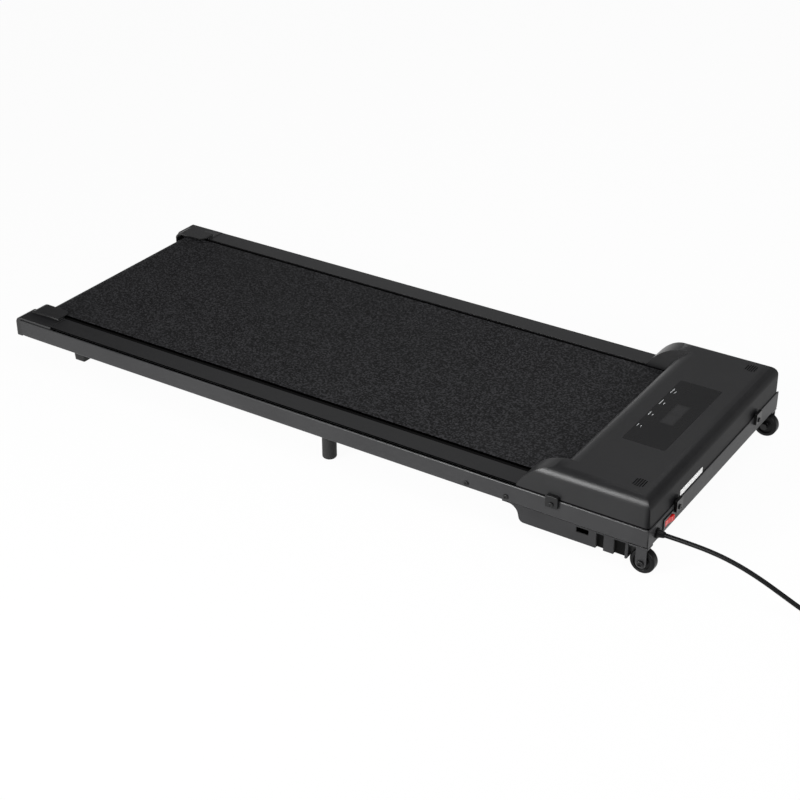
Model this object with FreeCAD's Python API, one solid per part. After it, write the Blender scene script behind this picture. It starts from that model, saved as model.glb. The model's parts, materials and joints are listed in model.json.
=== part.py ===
import FreeCAD, Part
import math
import os

V = FreeCAD.Vector
os.makedirs("parts", exist_ok=True)

# A low motorised walking pad. +X points to the motor end, +Z up, +Y is the left side of a walker
# who faces the motor end. The origin lies on the floor under the middle. Lengths are millimetres.

# Overall
body_length = 1243.0     # rear end caps to the steel front plate
body_width = 490.0       # over the steel side rails
seam_height = 79.0       # floor to the top of the rails, where hood and rails meet
wheel_overhang = 10.0    # transport wheels past the front plate
overrun = 5.0            # how far a cutting shape runs past what it cuts
running_gap = 0.3        # between pieces that move past each other
shaft_gap = 0.05         # radial, for shafts and bearings in their bores

# Side rails, rectangular tube that is cut open to a channel along the motor bay
rail_width = 40.0
rail_height = 31.0
rail_wall = 2.0
rail_end_plate = 4.0
bay_length = 195.0
bay_flange = 15.0

# Front beam, a folded steel angle
beam_thickness = 2.5
beam_flange = 30.0

# Walking belt and rollers
belt_side_gap = 7.0      # from the belt's edge to the rail
belt_thickness = 1.6
belt_lift = 6.3          # belt top above the seam
roller_radius = 19.0
roller_wall = 2.0
roller_spare = 1.0       # roller past the belt edge, each side
roller_plug = 16.0
rear_roller_inset = 42.0
front_roller_inset = 159.5
axle_radius = 6.0
bearing_radius = 14.0
bearing_width = 8.0
bearing_race = 3.0
bearing_shield_depth = 0.8

# Deck on its cross members
deck_thickness = 12.0
deck_spare = 0.5
deck_end_gap = 12.0
cross_width = 30.0
cross_height = 14.0
cross_wall = 1.5
cross_place_shares = (0.07, 0.36, 0.65, 0.93)
cushion_height = 8.0
cushion_width = 50.0
cushion_inset = 4.0
deck_screw_radius = 2.5
deck_screw_head = 5.0
deck_screw_depth = 3.0
deck_screw_bite = 6.0

# Foot rails, plastic strips on top of the side rails
foot_rail_height = 5.2
foot_rail_setback = 1.0
foot_rail_round = 0.5
foot_rail_groove = 4.2
foot_rail_groove_depth = 4.0
foot_rail_wall = 2.5
foot_rail_end_gap = 0.5

# Rear end caps
cap_length = 83.0
cap_depth = 11.0         # how far the cap reaches past the end of the rail
cap_wall = 2.5
cap_lift = 6.0           # outer part above the seam
cap_outer_round = 3.0
cap_seam = 1.8           # shadow gap under the outer edge of the lid
cap_seam_depth = 2.0
cap_round = 12.5
flap_lift = 11.0         # raised inner flap above the seam
flap_length = 79.0
flap_reach = 18.0        # flap past the inner face of the rail
flap_overlap = 15.0
flap_wall = 3.0
flap_setback = 9.5       # flap's rear wall in front of the cap's rear face
flap_round = 16.0
flap_corner = 12.0
cap_edge = 2.0

# Rear axle and its tension bolts
axle_slot = 26.0
rear_axle_end_gap = 6.0
tension_bolt_radius = 4.0
tension_head_radius = 6.5
tension_head_height = 7.0
tension_socket_radius = 3.5
tension_socket_depth = 4.0
tension_tail = 14.0
tension_access_gap = 1.5

# Hood over the motor bay
hood_height = 50.0
hood_wall = 2.5
hood_setback = 1.6       # hood inside the steel faces at the seam
hood_draft = 2.0
hood_side_round = 18.0
hood_front_round = 21.0
hood_corner_round = 6.0
arm_length = 220.0       # from the front plate to the tips of the side arms
arm_roll_radius = 83.0
arm_slope = 60.0         # degrees, at the tip
lip_inset = 167.0
lip_roll_radius = 30.0
lip_clearance = 3.0
notch_gap = 1.0          # from the belt edge to the arm
notch_flare = 7.0        # degrees, lean of the arms' inner walls
notch_flare_lift = 12.0  # from the seam to where the lean starts
boss_radius = 3.5
boss_height = 5.0

# Control panel on the hood
panel_length = 72.0
panel_width = 214.0
panel_inset = 44.5
panel_thickness = 0.8
panel_round = 4.0
window_length = 22.0
window_width = 66.0
window_depth = 3.2
window_front_inset = 22.0
display_board_length = 60.0
display_board_width = 196.0
board_thickness = 1.6

# Sound grilles in the front corners of the hood
grille_radius = 11.5
grille_inset = 37.5
grille_side_inset = 39.0
grille_slot = 1.8
grille_pitch = 3.8
grille_turn = 90.0
grille_slots = 5
buzzer_radius = 10.0
buzzer_height = 7.0

# Hood clips
clip_width = 21.0
clip_thickness = 5.0
clip_drop = 13.0
clip_rise = 7.0
clip_round = 2.0
side_clip_inset = 157.0
front_clip_side_inset = 94.0
screw_radius = 2.5
screw_head_radius = 4.2
screw_head_height = 2.2
screw_slot = 1.2
screw_bite = 6.0
clip_screw_drop = 6.8
rail_screw_insets = (236.0, 305.5)
rail_screw_drop = 23.0

# Blank white sticker on the front of the hood
sticker_width = 80.0
sticker_height = 9.0
sticker_lift = 2.5
sticker_side_inset = 147.0
sticker_thickness = 0.4

# Motor tray below the bay
tray_depth = 29.0        # below the rails
tray_wall = 2.5
tray_setback = 1.0
tray_rear_inset = 243.0
tray_rear_flange = 2.0
tray_wall_inset = 218.0
tray_lower_inset = 212.0
tray_front_inset = 31.5
tray_upper_round = 18.0
tray_lower_round = 9.0
tray_front_round = 2.5
tray_belt_gap = 3.0
flute_depth = 5.5
flute_top = 2.5
flute_insets = (83.5, 54.5)
flute_lengths = (12.5, 18.5)
vent_inset = 116.5
vent_length = 20.5
vent_height = 9.0
vent_drop = 3.0

# Drive
drive_pulley_radius = 27.0
motor_pulley_radius = 11.0
pulley_width = 14.0
pulley_hub_length = 4.5
pulley_hub_radius = 17.0
pulley_hub_gap = 1.5
pulley_groove = 1.4
pulley_grooves = 5
pulley_rim = 1.2
drive_belt_thickness = 3.0
drive_belt_inset = 1.0
axle_bracket_thickness = 4.0
axle_bracket_width = 36.0
axle_bracket_gap = 3.5
axle_bracket_foot = 3.0
axle_tail = 5.0
motor_inset = 76.5
motor_radius = 36.0
motor_wall = 4.0
motor_length = 110.0
motor_bell = 9.0
rotor_radius = 26.0
rotor_length = 70.0
motor_shaft_radius = 5.0
flywheel_radius = 38.0
flywheel_width = 18.0
flywheel_rim = 7.0
flywheel_web = 6.0
flywheel_hub = 10.0
flywheel_gap = 4.0
clamp_width = 22.0
clamp_wall = 4.0
clamp_arm_height = 14.0
clamp_foot = 3.0
clamp_foot_height = 25.0
clamp_place_shares = (0.18, 0.58)

# Controller
control_board_length = 74.0
control_board_width = 140.0
control_board_inset = 42.0
control_board_side_inset = 65.0
standoff_radius = 3.0
standoff_height = 6.0
standoff_inset = 6.0
sink_length = 50.0
sink_width = 60.0
sink_height = 30.0
sink_base = 4.0
sink_fin = 2.0
sink_fins = 8
sink_inset = 10.0
capacitor_radius = 12.5
capacitor_height = 42.0
capacitor_pitch = 32.0
capacitor_inset = 22.0

# Mains switch on the front plate
switch_side_inset = 65.0
switch_drop = 16.0
bezel_width = 35.0
bezel_height = 19.0
bezel_thickness = 2.0
switch_width = 30.0
switch_height = 14.0
switch_depth = 20.0
switch_wall = 1.4
rocker_gap = 0.5
rocker_tilt = 8.0        # degrees each side of level
rocker_rise = 5.0
rocker_dish = 1.8
rocker_keel = 5.0
rocker_end = 1.0
rocker_floor_gap = 3.0
rocker_pivot_depth = 1.0
rocker_pin_radius = 1.5
rocker_pin_length = 0.8

# Cord, gland and plug
cord_diameter = 7.0
cord_bend_share = 0.45
gland_side_inset = 27.0
gland_drop = 16.5
gland_body_radius = 6.0
gland_flange_radius = 8.0
gland_flange = 4.0
gland_nut_radius = 9.0
gland_nut = 4.0
gland_sleeve_radius = 6.4
gland_sleeve_tip_radius = 4.6
gland_sleeve = 9.0
coil_radius = 50.6       # outermost turn, at the middle of the cord
coil_pitch = 7.6
coil_layer = 7.5
coil_turns = 6.25
coil_steps = 4           # support points in each turn
coil_gap_steps = 96      # points in each turn when its gap to itself is measured
coil_heading_share = 0.001   # of a turn, to each side of a point, for its heading
tie_thickness = 1.0
tie_width = 10.0
tie_gap = 0.3
plug_relief = 38.0
plug_relief_radius = 6.5
plug_relief_tip_radius = 4.0
plug_length = 30.0
plug_width = 26.0
plug_round = 5.0
blade_length = 17.5
blade_width = 6.35
blade_thickness = 1.5
blade_pitch = 12.7
blade_lift = 4.0
ground_pin_radius = 2.38
ground_pin_length = 20.0
ground_pin_offset = 11.9

# Transport wheels
wheel_radius = 20.0
wheel_width = 16.0
wheel_round = 3.5
wheel_side_gap = 1.0
wheel_recess_depth = 3.0
wheel_recess_radius = 13.5
wheel_hub_radius = 6.5
wheel_bolt_radius = 4.0
wheel_bolt_head_radius = 5.5
wheel_bolt_head = 4.0
wheel_bolt_socket = 2.5
wheel_nut_radius = 6.2
wheel_nut = 5.0
tab_thickness = 3.0
tab_width = 17.5
tab_flange_width = 30.0
tab_flange_reach = 18.0

# Feet
mid_foot_radius = 12.0
mid_foot_round = 4.0
mid_foot_place = 578.0   # from the front plate
mid_foot_side_inset = 24.0
foot_stud_radius = 4.0
foot_stud_length = 12.0
rear_foot_inset = 97.0
rear_foot_length = 26.0
rear_foot_width = 26.0
rear_foot_taper = 2.0
rear_foot_round = 2.0
bracket_thickness = 3.0
bracket_end_inset = 8.0    # from the rail's outer face
bracket_drop = 14.0
bracket_length = 40.0
bracket_gap = 8.0        # rear foot inside the rail

# Planes and axes that several pieces share
front_x = (body_length - wheel_overhang) / 2
rear_x = front_x - body_length
side_y = body_width / 2
rail_floor_z = seam_height - rail_height
rail_inner_y = side_y - rail_width
rail_rear_x = rear_x + cap_depth
rail_front_x = front_x - beam_thickness
bay_x = front_x - bay_length
bay_inner_y = side_y - bay_flange
belt_width = body_width - (rail_width + belt_side_gap) * 2
belt_top_z = seam_height + belt_lift
belt_inner_radius = roller_radius + running_gap
belt_outer_radius = belt_inner_radius + belt_thickness
axle_z = belt_top_z - belt_outer_radius
rear_roller_x = rear_x + rear_roller_inset
front_roller_x = front_x - front_roller_inset
roller_end_y = belt_width / 2 + roller_spare
deck_top_z = axle_z + roller_radius
deck_floor_z = deck_top_z - deck_thickness
deck_rear_x = rear_roller_x + belt_outer_radius + deck_end_gap
deck_front_x = front_roller_x - belt_outer_radius - deck_end_gap
cross_top_z = deck_floor_z - cushion_height
hood_top_z = seam_height + hood_height
arm_tip_x = front_x - arm_length
lip_x = front_x - lip_inset
lip_floor_z = belt_top_z + lip_clearance
notch_y = belt_width / 2 + notch_gap
cap_front_x = rear_x + cap_length
tension_y = side_y - rail_width / 2
tray_floor_z = rail_floor_z - tray_depth
tray_side_y = side_y - tray_setback
pulley_y = roller_end_y + pulley_hub_length
motor_x = front_x - motor_inset
flywheel_y = pulley_y - flywheel_gap - flywheel_width
motor_end_y = flywheel_y - flywheel_gap
motor_start_y = motor_end_y - motor_length
panel_x = front_x - panel_inset - panel_length
wheel_x = front_x + wheel_overhang - wheel_radius
wheel_outer_y = side_y - tab_thickness - wheel_side_gap
wheel_inner_y = wheel_outer_y - wheel_width
control_x = front_x - control_board_inset - control_board_length
control_y = control_board_side_inset - side_y
control_z = tray_floor_z + tray_wall + standoff_height
front_clip_y = side_y - front_clip_side_inset
switch_y = switch_side_inset - side_y
switch_z = seam_height - switch_drop
rocker_x = front_x - rocker_pivot_depth
gland_y = gland_side_inset - side_y
gland_z = seam_height - gland_drop
cord_radius = cord_diameter / 2
cord_floor_z = cord_radius + tie_thickness + tie_gap

# Route of the free stretch of the cord, from the gland to the coil, as it lies
cord_route = (
    (629.5, -218.0, 62.5),
    (671.0, -218.0, 62.5),
    (711.0, -218.7, 60.6),
    (746.0, -220.0, 55.0),
    (780.0, -221.3, 45.4),
    (813.0, -221.8, 32.4),
    (846.0, -221.0, 17.8),
    (878.0, -219.4, 7.6),
    (906.0, -218.0, 4.8),
    (938.0, -218.0, 4.8),
)


def box(x0, x1, y0, y1, z0, z1):
    return Part.makeBox(x1 - x0, y1 - y0, z1 - z0, V(x0, y0, z0))


def rod_x(x0, x1, y, z, radius):
    return Part.makeCylinder(radius, x1 - x0, V(x0, y, z), V(1, 0, 0))


def rod_y(y0, y1, x, z, radius):
    return Part.makeCylinder(radius, y1 - y0, V(x, y0, z), V(0, 1, 0))


def rod_z(z0, z1, x, y, radius):
    return Part.makeCylinder(radius, z1 - z0, V(x, y, z0), V(0, 0, 1))


def mirrored(shape):
    return shape.mirror(V(0, 0, 0), V(0, 1, 0))


def group(shapes):
    return Part.makeCompound(list(shapes))


def unit(vector):
    return vector * (1 / vector.Length)


def rounded_face(corners):
    """Flat face from (point, radius) corners; a radius of 0 leaves the corner sharp."""
    bends = []
    for index, (point, radius) in enumerate(corners):
        if radius == 0:
            bends.append((point, None, point))
            continue
        back = unit(corners[index - 1][0] - point)
        ahead = unit(corners[(index + 1) % len(corners)][0] - point)
        half = back.getAngle(ahead) / 2
        reach = radius / math.tan(half)
        inward = unit(back + ahead)
        middle = point + inward * (radius / math.sin(half) - radius)
        bends.append((point + back * reach, middle, point + ahead * reach))
    edges = []
    for index, (start, middle, end) in enumerate(bends):
        if middle is not None:
            edges.append(Part.Arc(start, middle, end).toShape())
        edges.append(Part.LineSegment(end, bends[(index + 1) % len(bends)][0]).toShape())
    return Part.Face(Part.Wire(edges))


def four_corners(a0, a1, b0, b1, radius):
    return [(a0, b0, radius), (a1, b0, radius), (a1, b1, radius), (a0, b1, radius)]


def hexagon(a, b, radius):
    """Sharp corners of a six-sided socket or nut round (a, b)."""
    turns = [math.radians(60 * step) for step in range(6)]
    return [(a + radius * math.cos(turn), b + radius * math.sin(turn), 0) for turn in turns]


def prism_y(corners, y0, y1):
    face = rounded_face([(V(x, y0, z), radius) for x, z, radius in corners])
    return face.extrude(V(0, y1 - y0, 0))


def prism_x(corners, x0, x1):
    face = rounded_face([(V(x0, y, z), radius) for y, z, radius in corners])
    return face.extrude(V(x1 - x0, 0, 0))


def prism_z(corners, z0, z1):
    face = rounded_face([(V(x, y, z0), radius) for x, y, radius in corners])
    return face.extrude(V(0, 0, z1 - z0))


def loop_prism(first, first_radius, second, second_radius, y0, y1):
    """Solid inside a belt line round two circles, given by their (x, z) centres."""
    run = math.hypot(second[0] - first[0], second[1] - first[1])
    lean = math.atan2(second[1] - first[1], second[0] - first[0])
    spread = math.acos((first_radius - second_radius) / run)

    def on(centre, radius, angle):
        return V(centre[0] + radius * math.cos(angle), y0, centre[1] + radius * math.sin(angle))

    upper_first = on(first, first_radius, lean + spread)
    lower_first = on(first, first_radius, lean - spread)
    upper_second = on(second, second_radius, lean + spread)
    lower_second = on(second, second_radius, lean - spread)
    edges = [
        Part.Arc(upper_first, on(first, first_radius, lean + math.pi), lower_first).toShape(),
        Part.LineSegment(lower_first, lower_second).toShape(),
        Part.Arc(lower_second, on(second, second_radius, lean), upper_second).toShape(),
        Part.LineSegment(upper_second, upper_first).toShape(),
    ]
    return Part.Face(Part.Wire(edges)).extrude(V(0, y1 - y0, 0))


def screw_head(centre, outward, radius, height, slot_depth):
    """Low round head with a cross recess, standing on its seat at centre."""
    head = Part.makeCylinder(radius, height, centre, outward)
    top = centre + outward * height
    rim = [edge for edge in head.Edges if edge.Closed and (edge.CenterOfMass - top).Length < height / 2]
    head = head.makeFillet(height / 2, rim)
    across = V(0, 0, 1)
    along = outward.cross(across)
    for direction, other in ((across, along), (along, across)):
        corner = top - outward * slot_depth - direction * (radius / 2) - other * (screw_slot / 2)
        frame = FreeCAD.Placement(corner, FreeCAD.Rotation(direction, other, outward))
        slot = Part.makeBox(radius, screw_slot, height)
        slot.Placement = frame
        head = head.cut(slot)
    return head


def left_rail():
    outer = box(rail_rear_x, rail_front_x, rail_inner_y, side_y, rail_floor_z, seam_height)
    hollow = box(rail_rear_x + rail_end_plate, rail_front_x + overrun, rail_inner_y + rail_wall,
                 side_y - rail_wall, rail_floor_z + rail_wall, seam_height - rail_wall)
    open_side = box(bay_x, rail_front_x + overrun, rail_inner_y - overrun, bay_inner_y,
                    rail_floor_z - overrun, seam_height + overrun)
    slot_half = axle_slot / 2
    slot = box(rear_roller_x - slot_half, rear_roller_x + slot_half, rail_inner_y - overrun,
               rail_inner_y + rail_wall + overrun, axle_z - axle_radius - running_gap,
               axle_z + axle_radius + running_gap)
    bolt = rod_x(rail_rear_x - overrun, rail_rear_x + rail_end_plate + overrun, tension_y, axle_z,
                 tension_bolt_radius + running_gap)
    stud = rod_z(rail_floor_z - overrun, rail_floor_z + rail_wall + overrun, front_x - mid_foot_place,
                 side_y - mid_foot_side_inset, foot_stud_radius + shaft_gap)
    rail = outer.cut(hollow).cut(open_side).cut(slot).cut(bolt).cut(stud)
    for inset in rail_screw_insets:
        rail = rail.cut(rod_y(side_y - rail_wall - overrun, side_y + overrun, front_x - inset,
                              seam_height - rail_screw_drop, screw_radius + shaft_gap))
    return rail.cut(rod_y(side_y - rail_wall - overrun, side_y + overrun, front_x - side_clip_inset,
                          seam_height - clip_screw_drop, screw_radius + shaft_gap))


def front_beam():
    plate = box(rail_front_x, front_x, -side_y, side_y, rail_floor_z, seam_height)
    flange = box(rail_front_x - beam_flange, rail_front_x, -bay_inner_y, bay_inner_y,
                 rail_floor_z, rail_floor_z + beam_thickness)
    beam = plate.fuse(flange).removeSplitter()
    back = rail_front_x - overrun
    ahead = front_x + overrun
    half_width = switch_width / 2
    half_height = switch_height / 2
    beam = beam.cut(box(back, ahead, switch_y - half_width, switch_y + half_width,
                        switch_z - half_height, switch_z + half_height))
    beam = beam.cut(rod_x(back, ahead, gland_y, gland_z, gland_body_radius))
    for side in (-1, 1):
        beam = beam.cut(rod_x(back, ahead, side * front_clip_y, seam_height - clip_screw_drop,
                              screw_radius + shaft_gap))
    return beam


def cross_places():
    return [deck_rear_x + share * (deck_front_x - deck_rear_x) for share in cross_place_shares]


def deck_screw_places():
    inset = cushion_inset + cushion_width / 2
    return [(x, side * (belt_width / 2 + deck_spare - inset)) for x in cross_places() for side in (-1, 1)]


def cross_members():
    tubes = []
    for x in cross_places():
        half = cross_width / 2
        tube = box(x - half, x + half, -rail_inner_y, rail_inner_y, cross_top_z - cross_height, cross_top_z)
        bore = box(x - half + cross_wall, x + half - cross_wall, -rail_inner_y - overrun,
                   rail_inner_y + overrun, cross_top_z - cross_height + cross_wall, cross_top_z - cross_wall)
        tubes.append(tube.cut(bore))
    tubes = group(tubes)
    for x, y in deck_screw_places():
        tubes = tubes.cut(rod_z(cross_top_z - cross_wall - overrun, cross_top_z + overrun, x, y,
                                deck_screw_radius))
    return tubes


def deck_cushions():
    pads = []
    for x, y in deck_screw_places():
        pad = box(x - cross_width / 2, x + cross_width / 2, y - cushion_width / 2, y + cushion_width / 2,
                  cross_top_z, deck_floor_z)
        pads.append(pad.cut(rod_z(cross_top_z - overrun, deck_floor_z + overrun, x, y, deck_screw_radius)))
    return group(pads)


def deck_screw(x, y):
    shank = rod_z(cross_top_z - deck_screw_bite, deck_top_z - deck_screw_depth, x, y, deck_screw_radius)
    head = Part.makeCone(deck_screw_radius, deck_screw_head, deck_screw_depth,
                         V(x, y, deck_top_z - deck_screw_depth))
    return shank.fuse(head)


def deck_board():
    half = belt_width / 2 + deck_spare
    board = box(deck_rear_x, deck_front_x, -half, half, deck_floor_z, deck_top_z)
    for x, y in deck_screw_places():
        board = board.cut(rod_z(deck_floor_z - overrun, deck_top_z + overrun, x, y, deck_screw_radius))
        board = board.cut(deck_screw(x, y))
    return board


def walking_belt():
    rear = (rear_roller_x, axle_z)
    front = (front_roller_x, axle_z)
    half = belt_width / 2
    outer = loop_prism(rear, belt_outer_radius, front, belt_outer_radius, -half, half)
    return outer.cut(loop_prism(rear, belt_inner_radius, front, belt_inner_radius, -half, half))


def roller(x):
    tube = rod_y(-roller_end_y, roller_end_y, x, axle_z, roller_radius)
    middle = roller_end_y - roller_plug
    tube = tube.cut(rod_y(-middle, middle, x, axle_z, roller_radius - roller_wall))
    return tube.cut(rod_y(-roller_end_y - overrun, roller_end_y + overrun, x, axle_z,
                          bearing_radius + shaft_gap))


def bearings(x):
    ring = rod_y(roller_end_y - bearing_width, roller_end_y, x, axle_z, bearing_radius)
    ring = ring.cut(rod_y(-roller_end_y, roller_end_y + overrun, x, axle_z, axle_radius + shaft_gap))
    shield = rod_y(roller_end_y - bearing_shield_depth, roller_end_y + overrun, x, axle_z,
                   bearing_radius - bearing_race)
    core = rod_y(roller_end_y - bearing_width, roller_end_y + overrun, x, axle_z, axle_radius + bearing_race)
    ring = ring.cut(shield.cut(core))
    return group((ring, mirrored(ring)))


def rear_axle():
    end = side_y - rail_wall - rear_axle_end_gap
    axle = rod_y(-end, end, rear_roller_x, axle_z, axle_radius)
    for side in (-1, 1):
        axle = axle.cut(rod_x(rear_roller_x - axle_radius - overrun, rear_roller_x + axle_radius + overrun,
                              side * tension_y, axle_z, tension_bolt_radius + shaft_gap))
    return axle


def left_tension_bolt():
    head = rod_x(rail_rear_x - tension_head_height, rail_rear_x, tension_y, axle_z, tension_head_radius)
    shank = rod_x(rail_rear_x, rear_roller_x + tension_tail, tension_y, axle_z, tension_bolt_radius)
    socket_floor = rail_rear_x - tension_head_height + tension_socket_depth
    socket = prism_x(hexagon(tension_y, axle_z, tension_socket_radius),
                     rail_rear_x - tension_head_height - overrun, socket_floor)
    return head.fuse(shank).cut(socket)


def front_bracket_y():
    return pulley_y + pulley_width + axle_bracket_gap


def front_axle():
    end = front_bracket_y() + axle_bracket_thickness + axle_tail
    return rod_y(-end, end, front_roller_x, axle_z, axle_radius)


def axle_brackets():
    y0 = front_bracket_y()
    half = axle_bracket_width / 2
    floor_z = rail_floor_z + rail_wall
    corner = half - running_gap
    plate = prism_y([(front_roller_x - half, floor_z, 0), (front_roller_x + half, floor_z, 0),
                     (front_roller_x + half, seam_height - rail_wall, corner),
                     (front_roller_x - half, seam_height - rail_wall, corner)],
                    y0, y0 + axle_bracket_thickness)
    foot = box(front_roller_x - half, front_roller_x + half, y0, side_y - rail_wall,
               floor_z, floor_z + axle_bracket_foot)
    bracket = plate.fuse(foot).cut(rod_y(y0 - overrun, y0 + axle_bracket_thickness + overrun,
                                         front_roller_x, axle_z, axle_radius + shaft_gap))
    return group((bracket, mirrored(bracket)))


def pulley(x, radius, bore):
    rim = rod_y(pulley_y, pulley_y + pulley_width, x, axle_z, radius)
    pitch = (pulley_width - pulley_rim * 2) / pulley_grooves
    for index in range(pulley_grooves):
        middle = pulley_y + pulley_rim + (index + 1 / 2) * pitch
        points = [V(x, middle - pitch / 2, axle_z + radius), V(x, middle, axle_z + radius - pulley_groove),
                  V(x, middle + pitch / 2, axle_z + radius)]
        ring = Part.Face(Part.makePolygon(points + points[:1])).revolve(V(x, 0, axle_z), V(0, 1, 0), 360)
        rim = rim.cut(ring)
    return rim.cut(rod_y(pulley_y - overrun, pulley_y + pulley_width + overrun, x, axle_z, bore))


def drive_pulley():
    bore = axle_radius + running_gap
    hub = rod_y(roller_end_y, pulley_y, front_roller_x, axle_z, pulley_hub_radius)
    hub = hub.cut(rod_y(roller_end_y - overrun, pulley_y + overrun, front_roller_x, axle_z, bore))
    return pulley(front_roller_x, drive_pulley_radius, bore).fuse(hub)


def drive_belt():
    roller_centre = (front_roller_x, axle_z)
    motor_centre = (motor_x, axle_z)
    y0 = pulley_y + drive_belt_inset
    y1 = pulley_y + pulley_width - drive_belt_inset
    big = drive_pulley_radius + running_gap
    small = motor_pulley_radius + running_gap
    outer = loop_prism(roller_centre, big + drive_belt_thickness, motor_centre,
                       small + drive_belt_thickness, y0, y1)
    return outer.cut(loop_prism(roller_centre, big, motor_centre, small, y0, y1))


def motor_housing():
    can = rod_y(motor_start_y, motor_end_y, motor_x, axle_z, motor_radius)
    can = can.cut(rod_y(motor_start_y + motor_bell, motor_end_y - motor_bell, motor_x, axle_z,
                        motor_radius - motor_wall))
    return can.cut(rod_y(motor_start_y - overrun, motor_end_y + overrun, motor_x, axle_z,
                         motor_shaft_radius + shaft_gap))


def motor_rotor():
    shaft = rod_y(motor_start_y, pulley_y + pulley_width, motor_x, axle_z, motor_shaft_radius)
    middle = (motor_start_y + motor_end_y) / 2
    core = rod_y(middle - rotor_length / 2, middle + rotor_length / 2, motor_x, axle_z, rotor_radius)
    return shaft.fuse(core)


def motor_flywheel():
    disc = rod_y(flywheel_y, flywheel_y + flywheel_width, motor_x, axle_z, flywheel_radius)
    pocket = rod_y(flywheel_y + flywheel_web, flywheel_y + flywheel_width + overrun, motor_x, axle_z,
                   flywheel_radius - flywheel_rim)
    hub = rod_y(flywheel_y, flywheel_y + flywheel_width, motor_x, axle_z, flywheel_hub)
    disc = disc.cut(pocket).fuse(hub)
    return disc.cut(rod_y(flywheel_y - overrun, flywheel_y + flywheel_width + overrun, motor_x, axle_z,
                          motor_shaft_radius))


def motor_clamps():
    clamps = []
    for share in clamp_place_shares:
        middle = motor_start_y + share * motor_length
        y0 = middle - clamp_width / 2
        y1 = middle + clamp_width / 2
        ring = rod_y(y0, y1, motor_x, axle_z, motor_radius + clamp_wall)
        arm_half = clamp_arm_height / 2
        arm = box(motor_x, rail_front_x, y0, y1, axle_z - arm_half, axle_z + arm_half)
        foot = box(rail_front_x - clamp_foot, rail_front_x, y0, y1, axle_z - clamp_foot_height / 2,
                   axle_z + clamp_foot_height / 2)
        bore = rod_y(y0 - overrun, y1 + overrun, motor_x, axle_z, motor_radius + shaft_gap)
        clamps.append(ring.fuse(arm).fuse(foot).cut(bore))
    return group(clamps)


def control_board():
    return box(control_x, control_x + control_board_length, control_y, control_y + control_board_width,
               control_z, control_z + board_thickness)


def board_standoffs():
    posts = []
    for x in (control_x + standoff_inset, control_x + control_board_length - standoff_inset):
        for y in (control_y + standoff_inset, control_y + control_board_width - standoff_inset):
            posts.append(rod_z(tray_floor_z + tray_wall, control_z, x, y, standoff_radius))
    return group(posts)


def heat_sink():
    x0 = control_x + sink_inset
    y0 = control_y + sink_inset
    z0 = control_z + board_thickness
    sink = box(x0, x0 + sink_length, y0, y0 + sink_width, z0, z0 + sink_base)
    pitch = (sink_width - sink_fin) / (sink_fins - 1)
    for index in range(sink_fins):
        y = y0 + index * pitch
        sink = sink.fuse(box(x0, x0 + sink_length, y, y + sink_fin, z0, z0 + sink_height))
    return sink.removeSplitter()


def capacitors():
    middle = control_x + control_board_length / 2
    y = control_y + control_board_width - capacitor_inset
    z0 = control_z + board_thickness
    return group(rod_z(z0, z0 + capacitor_height, middle + side * capacitor_pitch / 2, y, capacitor_radius)
                 for side in (-1, 1))


def tray_flutes(grow):
    flutes = []
    for inset, length in zip(flute_insets, flute_lengths):
        x0 = front_x - inset - grow
        flute = box(x0, x0 + length + grow * 2, tray_side_y - flute_depth - grow, tray_side_y + overrun,
                    tray_floor_z - overrun, rail_floor_z - flute_top + grow)
        flutes += [flute, mirrored(flute)]
    return flutes


def motor_tray():
    flange_x = front_x - tray_rear_inset
    upper_x = front_x - tray_wall_inset
    lower_x = front_x - tray_lower_inset
    end_x = front_x - tray_front_inset
    outer = prism_y([(flange_x, rail_floor_z, 0), (flange_x, rail_floor_z - tray_rear_flange, 0),
                     (upper_x, rail_floor_z - tray_rear_flange, tray_upper_round),
                     (lower_x, tray_floor_z, tray_lower_round), (end_x, tray_floor_z, tray_front_round),
                     (end_x, rail_floor_z, 0)], -tray_side_y, tray_side_y)
    floor_z = tray_floor_z + tray_wall
    inner = prism_y([(upper_x + tray_wall, rail_floor_z + overrun, 0),
                     (lower_x + tray_wall, floor_z, tray_lower_round - tray_wall),
                     (end_x - tray_wall, floor_z, tray_front_round - tray_wall),
                     (end_x - tray_wall, rail_floor_z + overrun, 0)],
                    -tray_side_y + tray_wall, tray_side_y - tray_wall)
    for flute in tray_flutes(tray_wall):
        inner = inner.cut(flute)
    tray = outer.cut(inner)
    for flute in tray_flutes(0):
        tray = tray.cut(flute)
    belt_floor = axle_z - belt_outer_radius - tray_belt_gap
    tray = tray.cut(box(flange_x - overrun, front_roller_x, -notch_y, notch_y, belt_floor,
                        rail_floor_z + overrun))
    vent_x = front_x - vent_inset
    vent = box(vent_x, vent_x + vent_length, tray_side_y - tray_wall - overrun, tray_side_y + overrun,
               rail_floor_z - vent_drop - vent_height, rail_floor_z - vent_drop)
    return tray.cut(vent).cut(mirrored(vent))


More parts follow.
